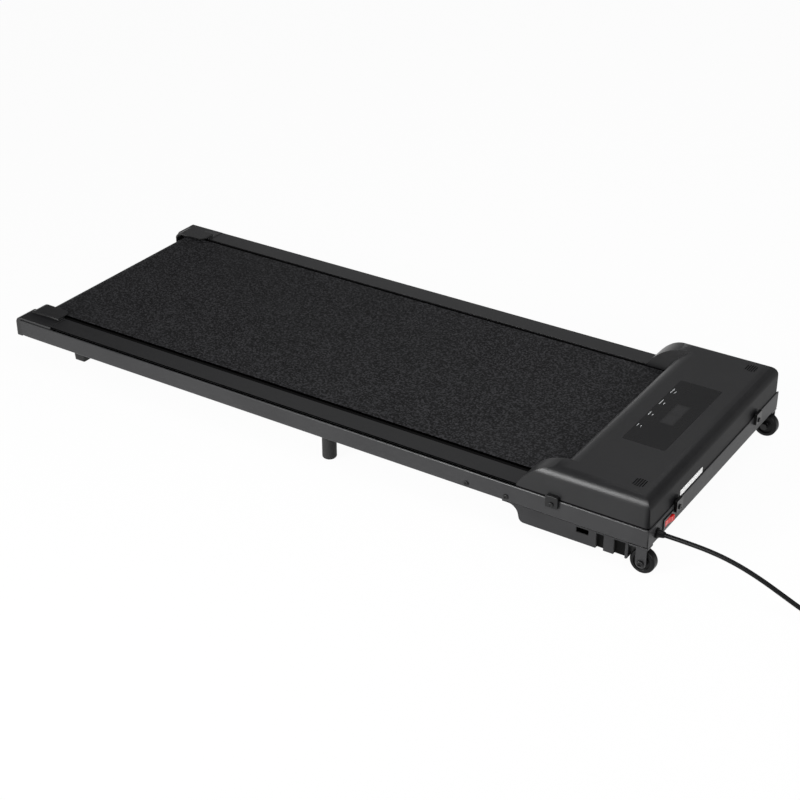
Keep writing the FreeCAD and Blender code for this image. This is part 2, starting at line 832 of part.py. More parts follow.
def hood_form(shrink):
    """Outer form of the hood, or its hollow when shrunk by the wall."""
    floor_z = seam_height - (overrun if shrink else 0)
    top = hood_top_z - shrink
    tip_z = seam_height + foot_rail_height
    tip_x = arm_tip_x + shrink
    crest_x = tip_x + (top - tip_z) / math.tan(math.radians(arm_slope))
    face_x = front_x - hood_setback - shrink
    side = prism_y([(tip_x, floor_z, 0), (tip_x, tip_z, 0), (crest_x, top, arm_roll_radius - shrink),
                    (face_x - hood_draft, top, hood_front_round - shrink), (face_x, floor_z, 0)],
                   -side_y, side_y)
    edge_y = side_y - hood_setback - shrink
    end = prism_x([(-edge_y, floor_z, 0), (-edge_y + hood_draft, top, hood_side_round - shrink),
                   (edge_y - hood_draft, top, hood_side_round - shrink), (edge_y, floor_z, 0)],
                  arm_tip_x - overrun, front_x)
    plan = prism_z([(arm_tip_x - overrun, -edge_y, 0), (face_x, -edge_y, hood_corner_round),
                    (face_x, edge_y, hood_corner_round), (arm_tip_x - overrun, edge_y, 0)],
                   floor_z - overrun, hood_top_z + overrun)
    return side.common(end).common(plan)


def hood_notch(grow):
    """Space between the side arms, where the belt runs in under the rolled lip."""
    x = lip_x + grow
    radius = lip_roll_radius - grow
    top = hood_top_z - grow
    y = notch_y + grow
    rear = arm_tip_x - overrun * 2
    floor_z = seam_height - overrun * 2
    roof_z = hood_top_z + overrun * 2
    flare_z = seam_height + notch_flare_lift
    roof_y = y + (roof_z - flare_z) * math.tan(math.radians(notch_flare))
    slant = radius * math.cos(math.radians(45))
    points = [V(rear, -roof_y, floor_z), V(x, -roof_y, floor_z), V(x, -roof_y, top - radius),
              V(x + radius - slant, -roof_y, top - radius + slant), V(x + radius, -roof_y, top),
              V(x + radius, -roof_y, roof_z), V(rear, -roof_y, roof_z)]
    edges = [Part.LineSegment(points[0], points[1]).toShape(),
             Part.LineSegment(points[1], points[2]).toShape(),
             Part.Arc(points[2], points[3], points[4]).toShape(),
             Part.LineSegment(points[4], points[5]).toShape(),
             Part.LineSegment(points[5], points[6]).toShape(),
             Part.LineSegment(points[6], points[0]).toShape()]
    roll = Part.Face(Part.Wire(edges)).extrude(V(0, roof_y * 2, 0))
    return roll.common(prism_x([(-y, floor_z, 0), (y, floor_z, 0), (y, flare_z, 0), (roof_y, roof_z, 0),
                                (-roof_y, roof_z, 0), (-y, flare_z, 0)], rear, x + radius))


def display_board_x():
    return panel_x + (panel_length - display_board_length) / 2


def panel_bosses():
    x0 = display_board_x() + boss_radius
    x1 = x0 + display_board_length - boss_radius * 2
    y = display_board_width / 2 - boss_radius
    top = hood_top_z - hood_wall
    return [rod_z(top - boss_height, top, x, side * y, boss_radius) for x in (x0, x1) for side in (-1, 1)]


def window_x():
    return panel_x + panel_length - window_front_inset - window_length


def grille_cuts():
    x = front_x - grille_inset
    cuts = []
    for side in (-1, 1):
        y = side * (side_y - grille_side_inset)
        for index in range(grille_slots):
            offset = (index - (grille_slots - 1) / 2) * grille_pitch
            half = math.sqrt(grille_radius ** 2 - offset ** 2)
            slot = box(x - half, x + half, y + offset - grille_slot / 2, y + offset + grille_slot / 2,
                       hood_top_z - hood_wall - overrun, hood_top_z + overrun)
            slot.rotate(V(x, y, 0), V(0, 0, 1), grille_turn)
            cuts.append(slot)
    return cuts


def panel_plate(z0, z1):
    half = panel_width / 2
    return prism_z(four_corners(panel_x, panel_x + panel_length, -half, half, panel_round), z0, z1)


def window_block(grow, z0, z1):
    half = window_width / 2 + grow
    return box(window_x() - grow, window_x() + window_length + grow, -half, half, z0, z1)


def hood():
    shell = hood_form(0).cut(hood_notch(0))
    shell = shell.cut(hood_form(hood_wall).cut(hood_notch(hood_wall)))
    shell = shell.cut(box(lip_x - overrun, lip_x + hood_wall + overrun, -notch_y, notch_y,
                          seam_height - overrun, lip_floor_z))
    for boss in panel_bosses():
        shell = shell.fuse(boss)
    shell = shell.cut(panel_plate(hood_top_z - panel_thickness, hood_top_z + overrun))
    shell = shell.cut(window_block(shaft_gap, hood_top_z - hood_wall - overrun, hood_top_z + overrun))
    for cut in grille_cuts():
        shell = shell.cut(cut)
    return shell.cut(rod_y(notch_y - overrun, notch_y + hood_wall + overrun, front_roller_x, axle_z,
                           pulley_hub_radius + pulley_hub_gap))


def panel_overlay():
    plate = panel_plate(hood_top_z - panel_thickness, hood_top_z)
    return plate.cut(window_block(shaft_gap, hood_top_z - hood_wall, hood_top_z + overrun))


def display_window():
    return window_block(0, hood_top_z - window_depth, hood_top_z)


def display_board():
    x0 = display_board_x()
    half = display_board_width / 2
    top = hood_top_z - hood_wall - boss_height
    return box(x0, x0 + display_board_length, -half, half, top - board_thickness, top)


def buzzer():
    top = hood_top_z - hood_wall
    return rod_z(top - buzzer_height, top, front_x - grille_inset, grille_side_inset - side_y, buzzer_radius)


def blank_sticker():
    lean = hood_draft / hood_height
    face_x = front_x - hood_setback
    middle = sticker_side_inset - side_y
    low = sticker_lift
    high = sticker_lift + sticker_height
    corners = [(face_x - low * lean, seam_height + low, 0),
               (face_x - low * lean + sticker_thickness, seam_height + low, 0),
               (face_x - high * lean + sticker_thickness, seam_height + high, 0),
               (face_x - high * lean, seam_height + high, 0)]
    return prism_y(corners, middle - sticker_width / 2, middle + sticker_width / 2)


def clip_block():
    """Clip with its back on x = 0, the seam at z = 0 and its middle at y = 0."""
    half = clip_width / 2
    block = prism_x(four_corners(-half, half, -clip_drop, clip_rise, clip_round), 0, clip_thickness)
    return block.cut(rod_x(-overrun, clip_thickness + overrun, 0, -clip_screw_drop, screw_radius + shaft_gap))


def front_clips():
    clips = []
    for side in (-1, 1):
        clip = clip_block()
        clip.translate(V(front_x, side * front_clip_y, seam_height))
        clips.append(clip)
    return group(clips)


def side_clips():
    clip = clip_block()
    clip.rotate(V(0, 0, 0), V(0, 0, 1), 90)
    clip.translate(V(front_x - side_clip_inset, side_y, seam_height))
    return group((clip, mirrored(clip)))


def screw(seat, outward, length):
    head = screw_head(seat, outward, screw_head_radius, screw_head_height, screw_slot)
    shank = Part.makeCylinder(screw_radius, length, seat - outward * length, outward)
    return head.fuse(shank)


def clip_screws():
    z = seam_height - clip_screw_drop
    length = clip_thickness + screw_bite
    screws = [screw(V(front_x + clip_thickness, side * front_clip_y, z), V(1, 0, 0), length)
              for side in (-1, 1)]
    left = screw(V(front_x - side_clip_inset, side_y + clip_thickness, z), V(0, 1, 0), length)
    return group(screws + [left, mirrored(left)])


def rail_screws():
    z = seam_height - rail_screw_drop
    screws = []
    for inset in rail_screw_insets:
        left = screw(V(front_x - inset, side_y, z), V(0, 1, 0), screw_bite)
        screws += [left, mirrored(left)]
    return group(screws)


def left_foot_rail():
    outer_y = side_y - foot_rail_setback
    groove_y = outer_y - foot_rail_groove_depth
    top = seam_height + foot_rail_height
    x0 = cap_front_x + foot_rail_end_gap
    x1 = arm_tip_x - foot_rail_end_gap
    strip = prism_x([(rail_inner_y, seam_height, 0), (rail_inner_y, top, foot_rail_round / 2),
                     (outer_y, top, foot_rail_round), (outer_y, seam_height + foot_rail_groove, 0),
                     (groove_y, seam_height + foot_rail_groove, 0), (groove_y, seam_height, 0)], x0, x1)
    return strip.cut(box(x0 - overrun, x1 + overrun, rail_inner_y + foot_rail_wall, groove_y - foot_rail_wall,
                         seam_height - overrun, top - foot_rail_wall))


def cap_body():
    """Plug in the end of the rail, with the lid that reaches forward over the rail's top."""
    top = seam_height + cap_lift
    side = prism_y([(rear_x, rail_floor_z, cap_edge), (rear_x, top, cap_round), (cap_front_x, top, cap_edge),
                    (cap_front_x, rail_floor_z, 0)], rail_inner_y, side_y)
    end = prism_x([(rail_inner_y, rail_floor_z, 0), (side_y, rail_floor_z, 0), (side_y, top, cap_outer_round),
                   (rail_inner_y, top, 0)], rear_x, cap_front_x)
    body = side.common(end)
    body = body.cut(box(rail_rear_x, cap_front_x + overrun, rail_inner_y - overrun, side_y + overrun,
                        rail_floor_z - overrun, seam_height))
    body = body.cut(box(rail_rear_x, cap_front_x + overrun, side_y - cap_seam_depth, side_y + overrun,
                        seam_height - overrun, seam_height + cap_seam))
    return body.cut(box(rear_x + cap_wall, rail_rear_x, rail_inner_y + cap_wall, side_y - cap_wall,
                        rail_floor_z + cap_wall, seam_height))


def cap_flap():
    """Raised shell over the edge of the belt, curled down behind the roller."""
    start_x = rear_x + flap_setback
    end_x = rear_x + flap_length
    start_y = rail_inner_y - flap_reach
    end_y = rail_inner_y + flap_overlap
    top = seam_height + flap_lift
    roof = top - flap_wall
    wall_x = start_x + flap_wall
    low_z = rail_floor_z - overrun
    flap = prism_y([(start_x, rail_floor_z, 0), (start_x, top, flap_round), (end_x, top, cap_edge),
                    (end_x, rail_floor_z, 0)], start_y, end_y)
    plan = prism_z([(start_x, start_y, cap_edge), (end_x, start_y, flap_corner), (end_x, end_y, cap_edge),
                    (start_x, end_y, 0)], rail_floor_z, top)
    under = prism_y([(wall_x, low_z, 0), (wall_x, roof, flap_round - flap_wall), (end_x + overrun, roof, 0),
                     (end_x + overrun, low_z, 0)], start_y - overrun, rail_inner_y)
    below = box(start_x - overrun, end_x + overrun, rail_inner_y, end_y + overrun, low_z,
                seam_height + cap_lift)
    return flap.common(plan).cut(under).cut(below)


def left_rear_cap():
    access = rod_x(rear_x - overrun, rear_x + cap_wall + overrun, tension_y, axle_z,
                   tension_head_radius + tension_access_gap)
    return cap_body().fuse(cap_flap()).cut(access)


def left_wheel():
    wheel = rod_y(wheel_inner_y, wheel_outer_y, wheel_x, wheel_radius, wheel_radius)
    wheel = wheel.makeFillet(wheel_round, [edge for edge in wheel.Edges if edge.Closed])
    recess = Part.makeCylinder(wheel_recess_radius, wheel_recess_depth).cut(
        Part.makeCylinder(wheel_hub_radius, wheel_recess_depth))
    recess.rotate(V(0, 0, 0), V(1, 0, 0), -90)
    for y in (wheel_inner_y, wheel_outer_y - wheel_recess_depth):
        pocket = recess.copy()
        pocket.translate(V(wheel_x, y, wheel_radius))
        wheel = wheel.cut(pocket)
    return wheel.cut(rod_y(wheel_inner_y - overrun, wheel_outer_y + overrun, wheel_x, wheel_radius,
                           wheel_bolt_radius + shaft_gap))


def left_wheel_bracket():
    half = tab_width / 2
    tab = box(wheel_x - half, wheel_x + half, side_y - tab_thickness, side_y, wheel_radius, rail_floor_z)
    tab = tab.fuse(rod_y(side_y - tab_thickness, side_y, wheel_x, wheel_radius, half))
    flange = box(front_x - tab_flange_width, front_x, side_y - tab_flange_reach, side_y,
                 rail_floor_z - tab_thickness, rail_floor_z)
    return tab.fuse(flange).removeSplitter().cut(
        rod_y(side_y - tab_thickness - overrun, side_y + overrun, wheel_x, wheel_radius, wheel_bolt_radius))


def wheel_bolts():
    seat = V(wheel_x, side_y, wheel_radius)
    head = screw_head(seat, V(0, 1, 0), wheel_bolt_head_radius, wheel_bolt_head, wheel_bolt_socket)
    nut_y = wheel_inner_y - running_gap
    shank = rod_y(nut_y - wheel_nut, side_y, wheel_x, wheel_radius, wheel_bolt_radius)
    nut = prism_y(hexagon(wheel_x, wheel_radius, wheel_nut_radius), nut_y - wheel_nut, nut_y)
    bolt = head.fuse(shank).fuse(nut)
    return group((bolt, mirrored(bolt)))


def left_mid_foot():
    x = front_x - mid_foot_place
    y = side_y - mid_foot_side_inset
    leg = rod_z(0, rail_floor_z, x, y, mid_foot_radius)
    low = [edge for edge in leg.Edges if edge.Closed and edge.CenterOfMass.z < rail_floor_z / 2]
    leg = leg.makeFillet(mid_foot_round, low)
    return leg.fuse(rod_z(rail_floor_z, rail_floor_z + foot_stud_length, x, y, foot_stud_radius))


def rear_foot_top_z():
    return rail_floor_z - bracket_drop


def foot_section(grow, z):
    """Rounded square across a rear foot at a height, grown on each side."""
    x = rear_x + rear_foot_inset
    half = rear_foot_length / 2 + grow
    y1 = rail_inner_y - bracket_gap + grow
    y0 = rail_inner_y - bracket_gap - rear_foot_width - grow
    corners = four_corners(x - half, x + half, y0, y1, rear_foot_round)
    return rounded_face([(V(a, b, z), radius) for a, b, radius in corners]).OuterWire


def rear_feet():
    foot = Part.makeLoft([foot_section(-rear_foot_taper, 0), foot_section(0, rear_foot_top_z())], True, True)
    return group((foot, mirrored(foot)))


def rear_foot_brackets():
    middle = rear_x + rear_foot_inset
    y0 = rail_inner_y - bracket_gap - rear_foot_width
    low_z = rear_foot_top_z()
    end_y = side_y - bracket_end_inset
    corners = [(end_y, rail_floor_z, 0), (end_y, rail_floor_z - bracket_thickness, 0),
               (rail_inner_y + bracket_thickness, rail_floor_z - bracket_thickness, 0),
               (rail_inner_y + bracket_thickness, low_z, bracket_thickness),
               (y0, low_z, 0), (y0, low_z + bracket_thickness, 0),
               (rail_inner_y, low_z + bracket_thickness, 0), (rail_inner_y, rail_floor_z, bracket_thickness)]
    bracket = prism_x(corners, middle - bracket_length / 2, middle + bracket_length / 2)
    return group((bracket, mirrored(bracket)))


def switch_housing():
    y = switch_y
    z = switch_z
    half_bezel = bezel_width / 2
    half_rise = bezel_height / 2
    corners = four_corners(y - half_bezel, y + half_bezel, z - half_rise, z + half_rise, bezel_thickness)
    bezel = prism_x(corners, front_x, front_x + bezel_thickness)
    half_width = switch_width / 2
    half_height = switch_height / 2
    body = box(front_x - switch_depth, front_x, y - half_width, y + half_width,
               z - half_height, z + half_height)
    well_width = half_width - switch_wall
    well_height = half_height - switch_wall
    well = box(rocker_x - rocker_keel - rocker_floor_gap, front_x + bezel_thickness + overrun,
               y - well_width, y + well_width, z - well_height, z + well_height)
    pin_half = well_height - rocker_gap + rocker_pin_length + shaft_gap
    pin = rod_z(z - pin_half, z + pin_half, rocker_x, y, rocker_pin_radius + shaft_gap)
    return bezel.fuse(body).cut(well).cut(pin)


def switch_rocker():
    y = switch_y
    z = switch_z
    x = rocker_x
    half = switch_width / 2 - switch_wall - rocker_gap
    tall = switch_height / 2 - switch_wall - rocker_gap
    keel = half / 2
    key = prism_z([(x + rocker_rise, y - half, rocker_end), (x + rocker_rise - rocker_dish, y, 0),
                   (x + rocker_rise, y + half, rocker_end), (x - rocker_end, y + half, 0),
                   (x - rocker_keel, y + keel, 0), (x - rocker_keel, y - keel, 0),
                   (x - rocker_end, y - half, 0)], z - tall, z + tall)
    pin_half = tall + rocker_pin_length
    key = key.fuse(rod_z(z - pin_half, z + pin_half, x, y, rocker_pin_radius))
    key.rotate(V(x, y, 0), V(0, 0, 1), -rocker_tilt)
    return key


def cord_gland():
    y = gland_y
    body = rod_x(rail_front_x, front_x, y, gland_z, gland_body_radius)
    nut = rod_x(rail_front_x - gland_nut, rail_front_x, y, gland_z, gland_nut_radius)
    flange = rod_x(front_x, front_x + gland_flange, y, gland_z, gland_flange_radius)
    sleeve = Part.makeCone(gland_sleeve_radius, gland_sleeve_tip_radius, gland_sleeve,
                           V(front_x + gland_flange, y, gland_z), V(1, 0, 0))
    return nut.fuse(body).fuse(flange).fuse(sleeve)


def tube(edges, start, heading):
    profile = Part.Wire(Part.makeCircle(cord_radius, start, heading))
    return Part.Wire(edges).makePipeShell([profile], True, False)


def power_cord():
    points = [V(*point) for point in cord_route]
    edges = []
    radii = []
    here = points[0]
    for before, point, after in zip(points, points[1:], points[2:]):
        back = unit(before - point)
        ahead = unit(after - point)
        half_turn = (math.pi - back.getAngle(ahead)) / 2
        reach = cord_bend_share * min((before - point).Length, (after - point).Length)
        radius = reach / math.tan(half_turn)
        radii.append(round(radius, 1))
        inward = unit(back + ahead)
        middle = point + inward * (radius / math.cos(half_turn) - radius)
        edges.append(Part.LineSegment(here, point + back * reach).toShape())
        edges.append(Part.Arc(point + back * reach, middle, point + ahead * reach).toShape())
        here = point + ahead * reach
    edges.append(Part.LineSegment(here, points[-1]).toShape())
    length = sum(edge.Length for edge in edges)
    solid = tube(edges, points[0], points[1] - points[0])
    share = solid.Volume / (math.pi * cord_radius ** 2 * length)
    print("cord radii", radii, "length", round(length, 1), "volume share", round(share, 4))
    return solid


def coil_centre():
    end = V(*cord_route[-1])
    return V(end.x + cord_diameter, end.y + coil_radius, cord_floor_z)


def coil_point(turn):
    """Middle of the cord after so many turns: in along the floor, out again one layer up."""
    middle = coil_turns / 2
    radius = coil_radius - coil_pitch * min(turn, coil_turns - turn)
    climb = min(1, max(0, (turn - middle) * 2 + 1 / 2))
    ease = climb * climb * (3 - 2 * climb)
    angle = 2 * math.pi * turn - math.pi / 2
    return coil_centre() + V(radius * math.cos(angle), radius * math.sin(angle), coil_layer * ease)


def arc_between(start, heading, end):
    chord = end - start
    along = unit(chord)
    lift = heading - along * heading.dot(along)
    bulge = chord.Length / 2 * math.tan(heading.getAngle(along) / 2)
    return Part.Arc(start, (start + end) * (1 / 2) + unit(lift) * bulge, end).toShape()


def biarc(start, heading, end, arrival):
    chord = end - start
    both = heading + arrival
    spare = 2 * (1 - heading.dot(arrival))
    reach = (math.sqrt(chord.dot(both) ** 2 + spare * chord.dot(chord)) - chord.dot(both)) / spare
    joint = (start + end + (heading - arrival) * reach) * (1 / 2)
    middle = unit(joint - start - heading * reach)
    return [arc_between(start, heading, joint), arc_between(joint, middle, end)]


def coil_gap():
    count = int(coil_turns * coil_gap_steps)
    points = [coil_point(index / coil_gap_steps) for index in range(count + 1)]
    nearest = min((points[a] - points[b]).Length for a in range(len(points))
                  for b in range(a + coil_gap_steps // 2, len(points)))
    return nearest - cord_diameter


def cord_coil():
    lead_in = V(*cord_route[-1])
    count = int(coil_turns * coil_steps)
    points = [coil_point(index / coil_steps) for index in range(count + 1)]
    headings = [V(1, 0, 0)]
    for index in range(1, count):
        turn = index / coil_steps
        before = coil_point(turn - coil_heading_share)
        headings.append(unit(coil_point(turn + coil_heading_share) - before))
    headings.append(V(0, 1, 0))
    edges = [Part.LineSegment(lead_in, points[0]).toShape()]
    for index in range(count):
        edges += biarc(points[index], headings[index], points[index + 1], headings[index + 1])
    edges.append(Part.LineSegment(points[-1], points[-1] + V(0, cord_diameter, 0)).toShape())
    length = sum(edge.Length for edge in edges)
    solid = tube(edges, lead_in, V(1, 0, 0))
    share = solid.Volume / (math.pi * cord_radius ** 2 * length)
    print("coil length", round(length, 1), "volume share", round(share, 4))
    print("coil gap to itself", round(coil_gap(), 2))
    return solid


def cord_tie():
    centre = coil_centre()
    inner = coil_radius - coil_pitch * coil_turns / 2 - cord_radius - tie_gap
    outer = coil_radius + cord_radius + tie_gap
    x0 = centre.x - outer
    x1 = centre.x - inner
    z0 = cord_floor_z - cord_radius - tie_gap
    z1 = cord_floor_z + coil_layer + cord_radius + tie_gap
    y0 = centre.y - tie_width / 2
    y1 = centre.y + tie_width / 2
    wall = tie_thickness
    band = prism_y(four_corners(x0 - wall, x1 + wall, z0 - wall, z1 + wall, cord_radius + wall), y0, y1)
    return band.cut(prism_y(four_corners(x0, x1, z0, z1, cord_radius), y0, y1))


def plug():
    start = coil_point(coil_turns) + V(0, cord_diameter, 0)
    relief = Part.makeCone(plug_relief_tip_radius, plug_relief_radius, plug_relief, start, V(0, 1, 0))
    face_y = start.y + plug_relief + plug_length
    half = plug_width / 2
    body = prism_y(four_corners(start.x - half, start.x + half, 0, start.z * 2, plug_round),
                   start.y + plug_relief, face_y)
    whole = relief.fuse(body)
    blade_z = start.z + blade_lift
    for side in (-1, 1):
        x = start.x + side * blade_pitch / 2
        whole = whole.fuse(box(x - blade_thickness / 2, x + blade_thickness / 2, face_y,
                               face_y + blade_length, blade_z - blade_width / 2, blade_z + blade_width / 2))
    pin_z = blade_z - ground_pin_offset
    return whole.fuse(rod_y(face_y, face_y + ground_pin_length, start.x, pin_z, ground_pin_radius))


nodes = {
    "left_rail": left_rail(),
    "right_rail": mirrored(left_rail()),
    "front_beam": front_beam(),
    "cross_members": cross_members(),
    "deck_board": deck_board(),
    "deck_cushions": deck_cushions(),
    "deck_screws": group(deck_screw(x, y) for x, y in deck_screw_places()),
    "walking_belt": walking_belt(),
    "front_roller": roller(front_roller_x),
    "front_roller_bearings": bearings(front_roller_x),
    "front_axle": front_axle(),
    "axle_brackets": axle_brackets(),
    "drive_pulley": drive_pulley(),
    "drive_belt": drive_belt(),
    "rear_roller": roller(rear_roller_x),
    "rear_roller_bearings": bearings(rear_roller_x),
    "rear_axle": rear_axle(),
    "left_tension_bolt": left_tension_bolt(),
    "right_tension_bolt": mirrored(left_tension_bolt()),
    "motor_housing": motor_housing(),
    "motor_rotor": motor_rotor(),
    "motor_flywheel": motor_flywheel(),
    "motor_pulley": pulley(motor_x, motor_pulley_radius, motor_shaft_radius),
    "motor_clamps": motor_clamps(),
    "control_board": control_board(),
    "board_standoffs": board_standoffs(),
    "heat_sink": heat_sink(),
    "capacitors": capacitors(),
    "motor_tray": motor_tray(),
    "hood": hood(),
    "panel_overlay": panel_overlay(),
    "display_window": display_window(),
    "display_board": display_board(),
    "buzzer": buzzer(),
    "blank_sticker": blank_sticker(),
    "front_clips": front_clips(),
    "side_clips": side_clips(),
    "clip_screws": clip_screws(),
    "rail_screws": rail_screws(),
    "left_foot_rail": left_foot_rail(),
    "right_foot_rail": mirrored(left_foot_rail()),
    "left_rear_cap": left_rear_cap(),
    "right_rear_cap": mirrored(left_rear_cap()),
    "left_wheel": left_wheel(),
    "right_wheel": mirrored(left_wheel()),
    "left_wheel_bracket": left_wheel_bracket(),
    "right_wheel_bracket": mirrored(left_wheel_bracket()),
    "wheel_bolts": wheel_bolts(),
    "left_mid_foot": left_mid_foot(),
    "right_mid_foot": mirrored(left_mid_foot()),
    "rear_feet": rear_feet(),
    "rear_foot_brackets": rear_foot_brackets(),
    "switch_housing": switch_housing(),
    "switch_rocker": switch_rocker(),
    "cord_gland": cord_gland(),
    "power_cord": power_cord(),
    "cord_coil": cord_coil(),
    "cord_tie": cord_tie(),
    "plug": plug(),
}

for name, shape in nodes.items():
    shape.exportStep("parts/" + name + ".step")
    print(name, len(shape.Solids), shape.isValid(), round(shape.Volume))
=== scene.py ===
import bmesh
import bpy
import json
import math
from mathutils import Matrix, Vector

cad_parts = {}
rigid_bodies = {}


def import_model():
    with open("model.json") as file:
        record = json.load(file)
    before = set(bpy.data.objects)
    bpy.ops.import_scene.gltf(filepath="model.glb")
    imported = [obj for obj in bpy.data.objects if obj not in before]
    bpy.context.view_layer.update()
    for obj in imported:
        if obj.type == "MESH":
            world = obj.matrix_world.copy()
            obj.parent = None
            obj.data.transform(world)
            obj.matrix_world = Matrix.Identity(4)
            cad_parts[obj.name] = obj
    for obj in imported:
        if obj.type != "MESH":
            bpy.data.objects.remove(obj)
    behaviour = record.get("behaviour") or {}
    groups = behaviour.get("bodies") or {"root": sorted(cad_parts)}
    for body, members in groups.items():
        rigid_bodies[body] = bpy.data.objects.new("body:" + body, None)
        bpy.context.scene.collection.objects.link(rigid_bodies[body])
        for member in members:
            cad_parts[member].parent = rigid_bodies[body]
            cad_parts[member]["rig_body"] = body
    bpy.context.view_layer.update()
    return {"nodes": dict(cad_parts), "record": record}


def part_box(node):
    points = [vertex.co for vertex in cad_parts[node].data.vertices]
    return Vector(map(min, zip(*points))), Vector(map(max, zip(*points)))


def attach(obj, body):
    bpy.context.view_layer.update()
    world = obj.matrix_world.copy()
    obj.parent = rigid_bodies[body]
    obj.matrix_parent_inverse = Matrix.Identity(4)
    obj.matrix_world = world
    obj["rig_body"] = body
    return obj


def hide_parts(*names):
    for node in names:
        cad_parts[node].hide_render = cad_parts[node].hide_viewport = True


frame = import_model()
nodes = frame["nodes"]
slotOf = {part["node"]: part["material_slot"] for part in frame["record"]["subparts"]}
print("frame loaded,", len(nodes), "nodes")


class Sock:
    # one socket of a shader tree, so that sums on it add Math nodes
    def __init__(self, tree, socket=None):
        self.tree = tree
        self.socket = socket

    def add(self, kind, settings=None, links=None, output=0):
        made = self.tree.nodes.new(kind)
        for name, value in (settings or {}).items():
            setattr(made, name, value)
        for name, value in (links or {}).items():
            if isinstance(value, Sock):
                self.tree.links.new(value.socket, made.inputs[name])
            else:
                made.inputs[name].default_value = value
        if made.outputs:
            return Sock(self.tree, made.outputs[output])
        return None

    def math(self, operation, first, second=0.0, third=0.0):
        return self.add("ShaderNodeMath", {"operation": operation}, {0: first, 1: second, 2: third})

    def __add__(self, other):
        return self.math("ADD", self, other)

    def __radd__(self, other):
        return self.math("ADD", other, self)

    def __sub__(self, other):
        return self.math("SUBTRACT", self, other)

    def __rsub__(self, other):
        return self.math("SUBTRACT", other, self)

    def __mul__(self, other):
        return self.math("MULTIPLY", self, other)

    def __rmul__(self, other):
        return self.math("MULTIPLY", other, self)

    def swing(self, reach):                      # a value from 0 to 1 as plus or minus half of reach
        return (self - 0.5) * reach

    def near(self, centre, half):                # 1 within half of centre, else 0
        return self.math("COMPARE", self, centre, half)

    def larger(self, other):
        return self.math("MAXIMUM", self, other)

    def ramp(self, low, high):                   # 0 at low, 1 at high, smooth between
        return self.add("ShaderNodeMapRange", {"interpolation_type": "SMOOTHSTEP"},
                        {"Value": self, "From Min": low, "From Max": high})

    def blend(self, amount, first, second):
        return self.add("ShaderNodeMix", {"data_type": "RGBA"}, {0: amount, 6: first, 7: second}, 2)

    def place(self):
        return self.add("ShaderNodeTexCoord", None, None, "Object")

    def axes(self, vector):
        split = self.add("ShaderNodeSeparateXYZ", None, {"Vector": vector}).socket.node
        return [Sock(self.tree, split.outputs[axis]) for axis in ("X", "Y", "Z")]

    def dot(self, vector, way):
        return self.add("ShaderNodeVectorMath", {"operation": "DOT_PRODUCT"}, {0: vector, 1: way}, 1)

    def stretch(self, vector, scale):
        return self.add("ShaderNodeMapping", None, {"Vector": vector, "Scale": scale})

    def noise(self, vector, size, detail, rough):
        return self.add("ShaderNodeTexNoise", None,
                        {"Vector": vector, "Scale": 1.0 / size, "Detail": detail, "Roughness": rough})

    def cells(self, vector, size):
        return self.add("ShaderNodeTexVoronoi", None, {"Vector": vector, "Scale": 1.0 / size})

    def bump(self, height, depth, strength=1.0):
        return self.add("ShaderNodeBump", None, {"Height": height, "Distance": depth, "Strength": strength})

    def principled(self, sockets):
        return self.add("ShaderNodeBsdfPrincipled", None, sockets)


def colour(red, green, blue):                    # 0 to 255 as a picture shows it, to linear
    parts = []
    for value in (red, green, blue):
        share = value / 255.0
        parts.append(share / 12.92 if share <= 0.04045 else ((share + 0.055) / 1.055) ** 2.4)
    return (parts[0], parts[1], parts[2], 1.0)


def startFinish(name):
    finish = bpy.data.materials.new(name)
    finish.use_nodes = True
    finish.node_tree.nodes.clear()
    return finish, Sock(finish.node_tree)


def closeFinish(sock, sockets):
    sock.add("ShaderNodeOutputMaterial", None, {"Surface": sock.principled(sockets)})


def closeMix(sock, share, first, second):        # first where share is 0, second where it is 1
    both = sock.add("ShaderNodeMixShader", None, {0: share, 1: first, 2: second})
    sock.add("ShaderNodeOutputMaterial", None, {"Surface": both})


# in the looks below a noise is (size, detail, roughness), or (detail, roughness) where its size is apart,
# a ramp is (from, to), and a name that ends in Tone or Rough says how much a pattern counts there

# moulded plastics: a fine spark grain with slow clouds of tone and gloss
satinLook = {"fine": (2.0, 0.6), "cloud": (0.07, 3.0, 0.55), "cloudRamp": (0.3, 0.7), "cloudTone": 0.6,
             "grainTone": 0.4, "cloudRough": 0.10, "grainRough": 0.08}
plasticLooks = {
    "trim_plastic": {"dark": (18, 18, 19), "light": (26, 26, 27), "rough": 0.44, "gloss": 0.50,
                     "grain": 0.0009, "depth": 0.00005},
    "cap_plastic": {"dark": (14, 14, 15), "light": (21, 21, 22), "rough": 0.36, "gloss": 0.50,
                    "grain": 0.0009, "depth": 0.00005},
    "wheel_plastic": {"dark": (7, 7, 8), "light": (12, 12, 13), "rough": 0.40, "gloss": 0.18,
                      "grain": 0.0008, "depth": 0.00004},
    "switch_black": {"dark": (9, 9, 10), "light": (15, 15, 16), "rough": 0.34, "gloss": 0.36,
                     "grain": 0.0005, "depth": 0.00001},
    "cord_sheath": {"dark": (5, 5, 6), "light": (10, 10, 11), "rough": 0.42, "gloss": 0.18,
                    "grain": 0.0012, "depth": 0.00003},
    "capacitor_sleeve": {"dark": (26, 28, 34), "light": (34, 36, 44), "rough": 0.30, "gloss": 0.50,
                         "grain": 0.0020, "depth": 0.00001},
}


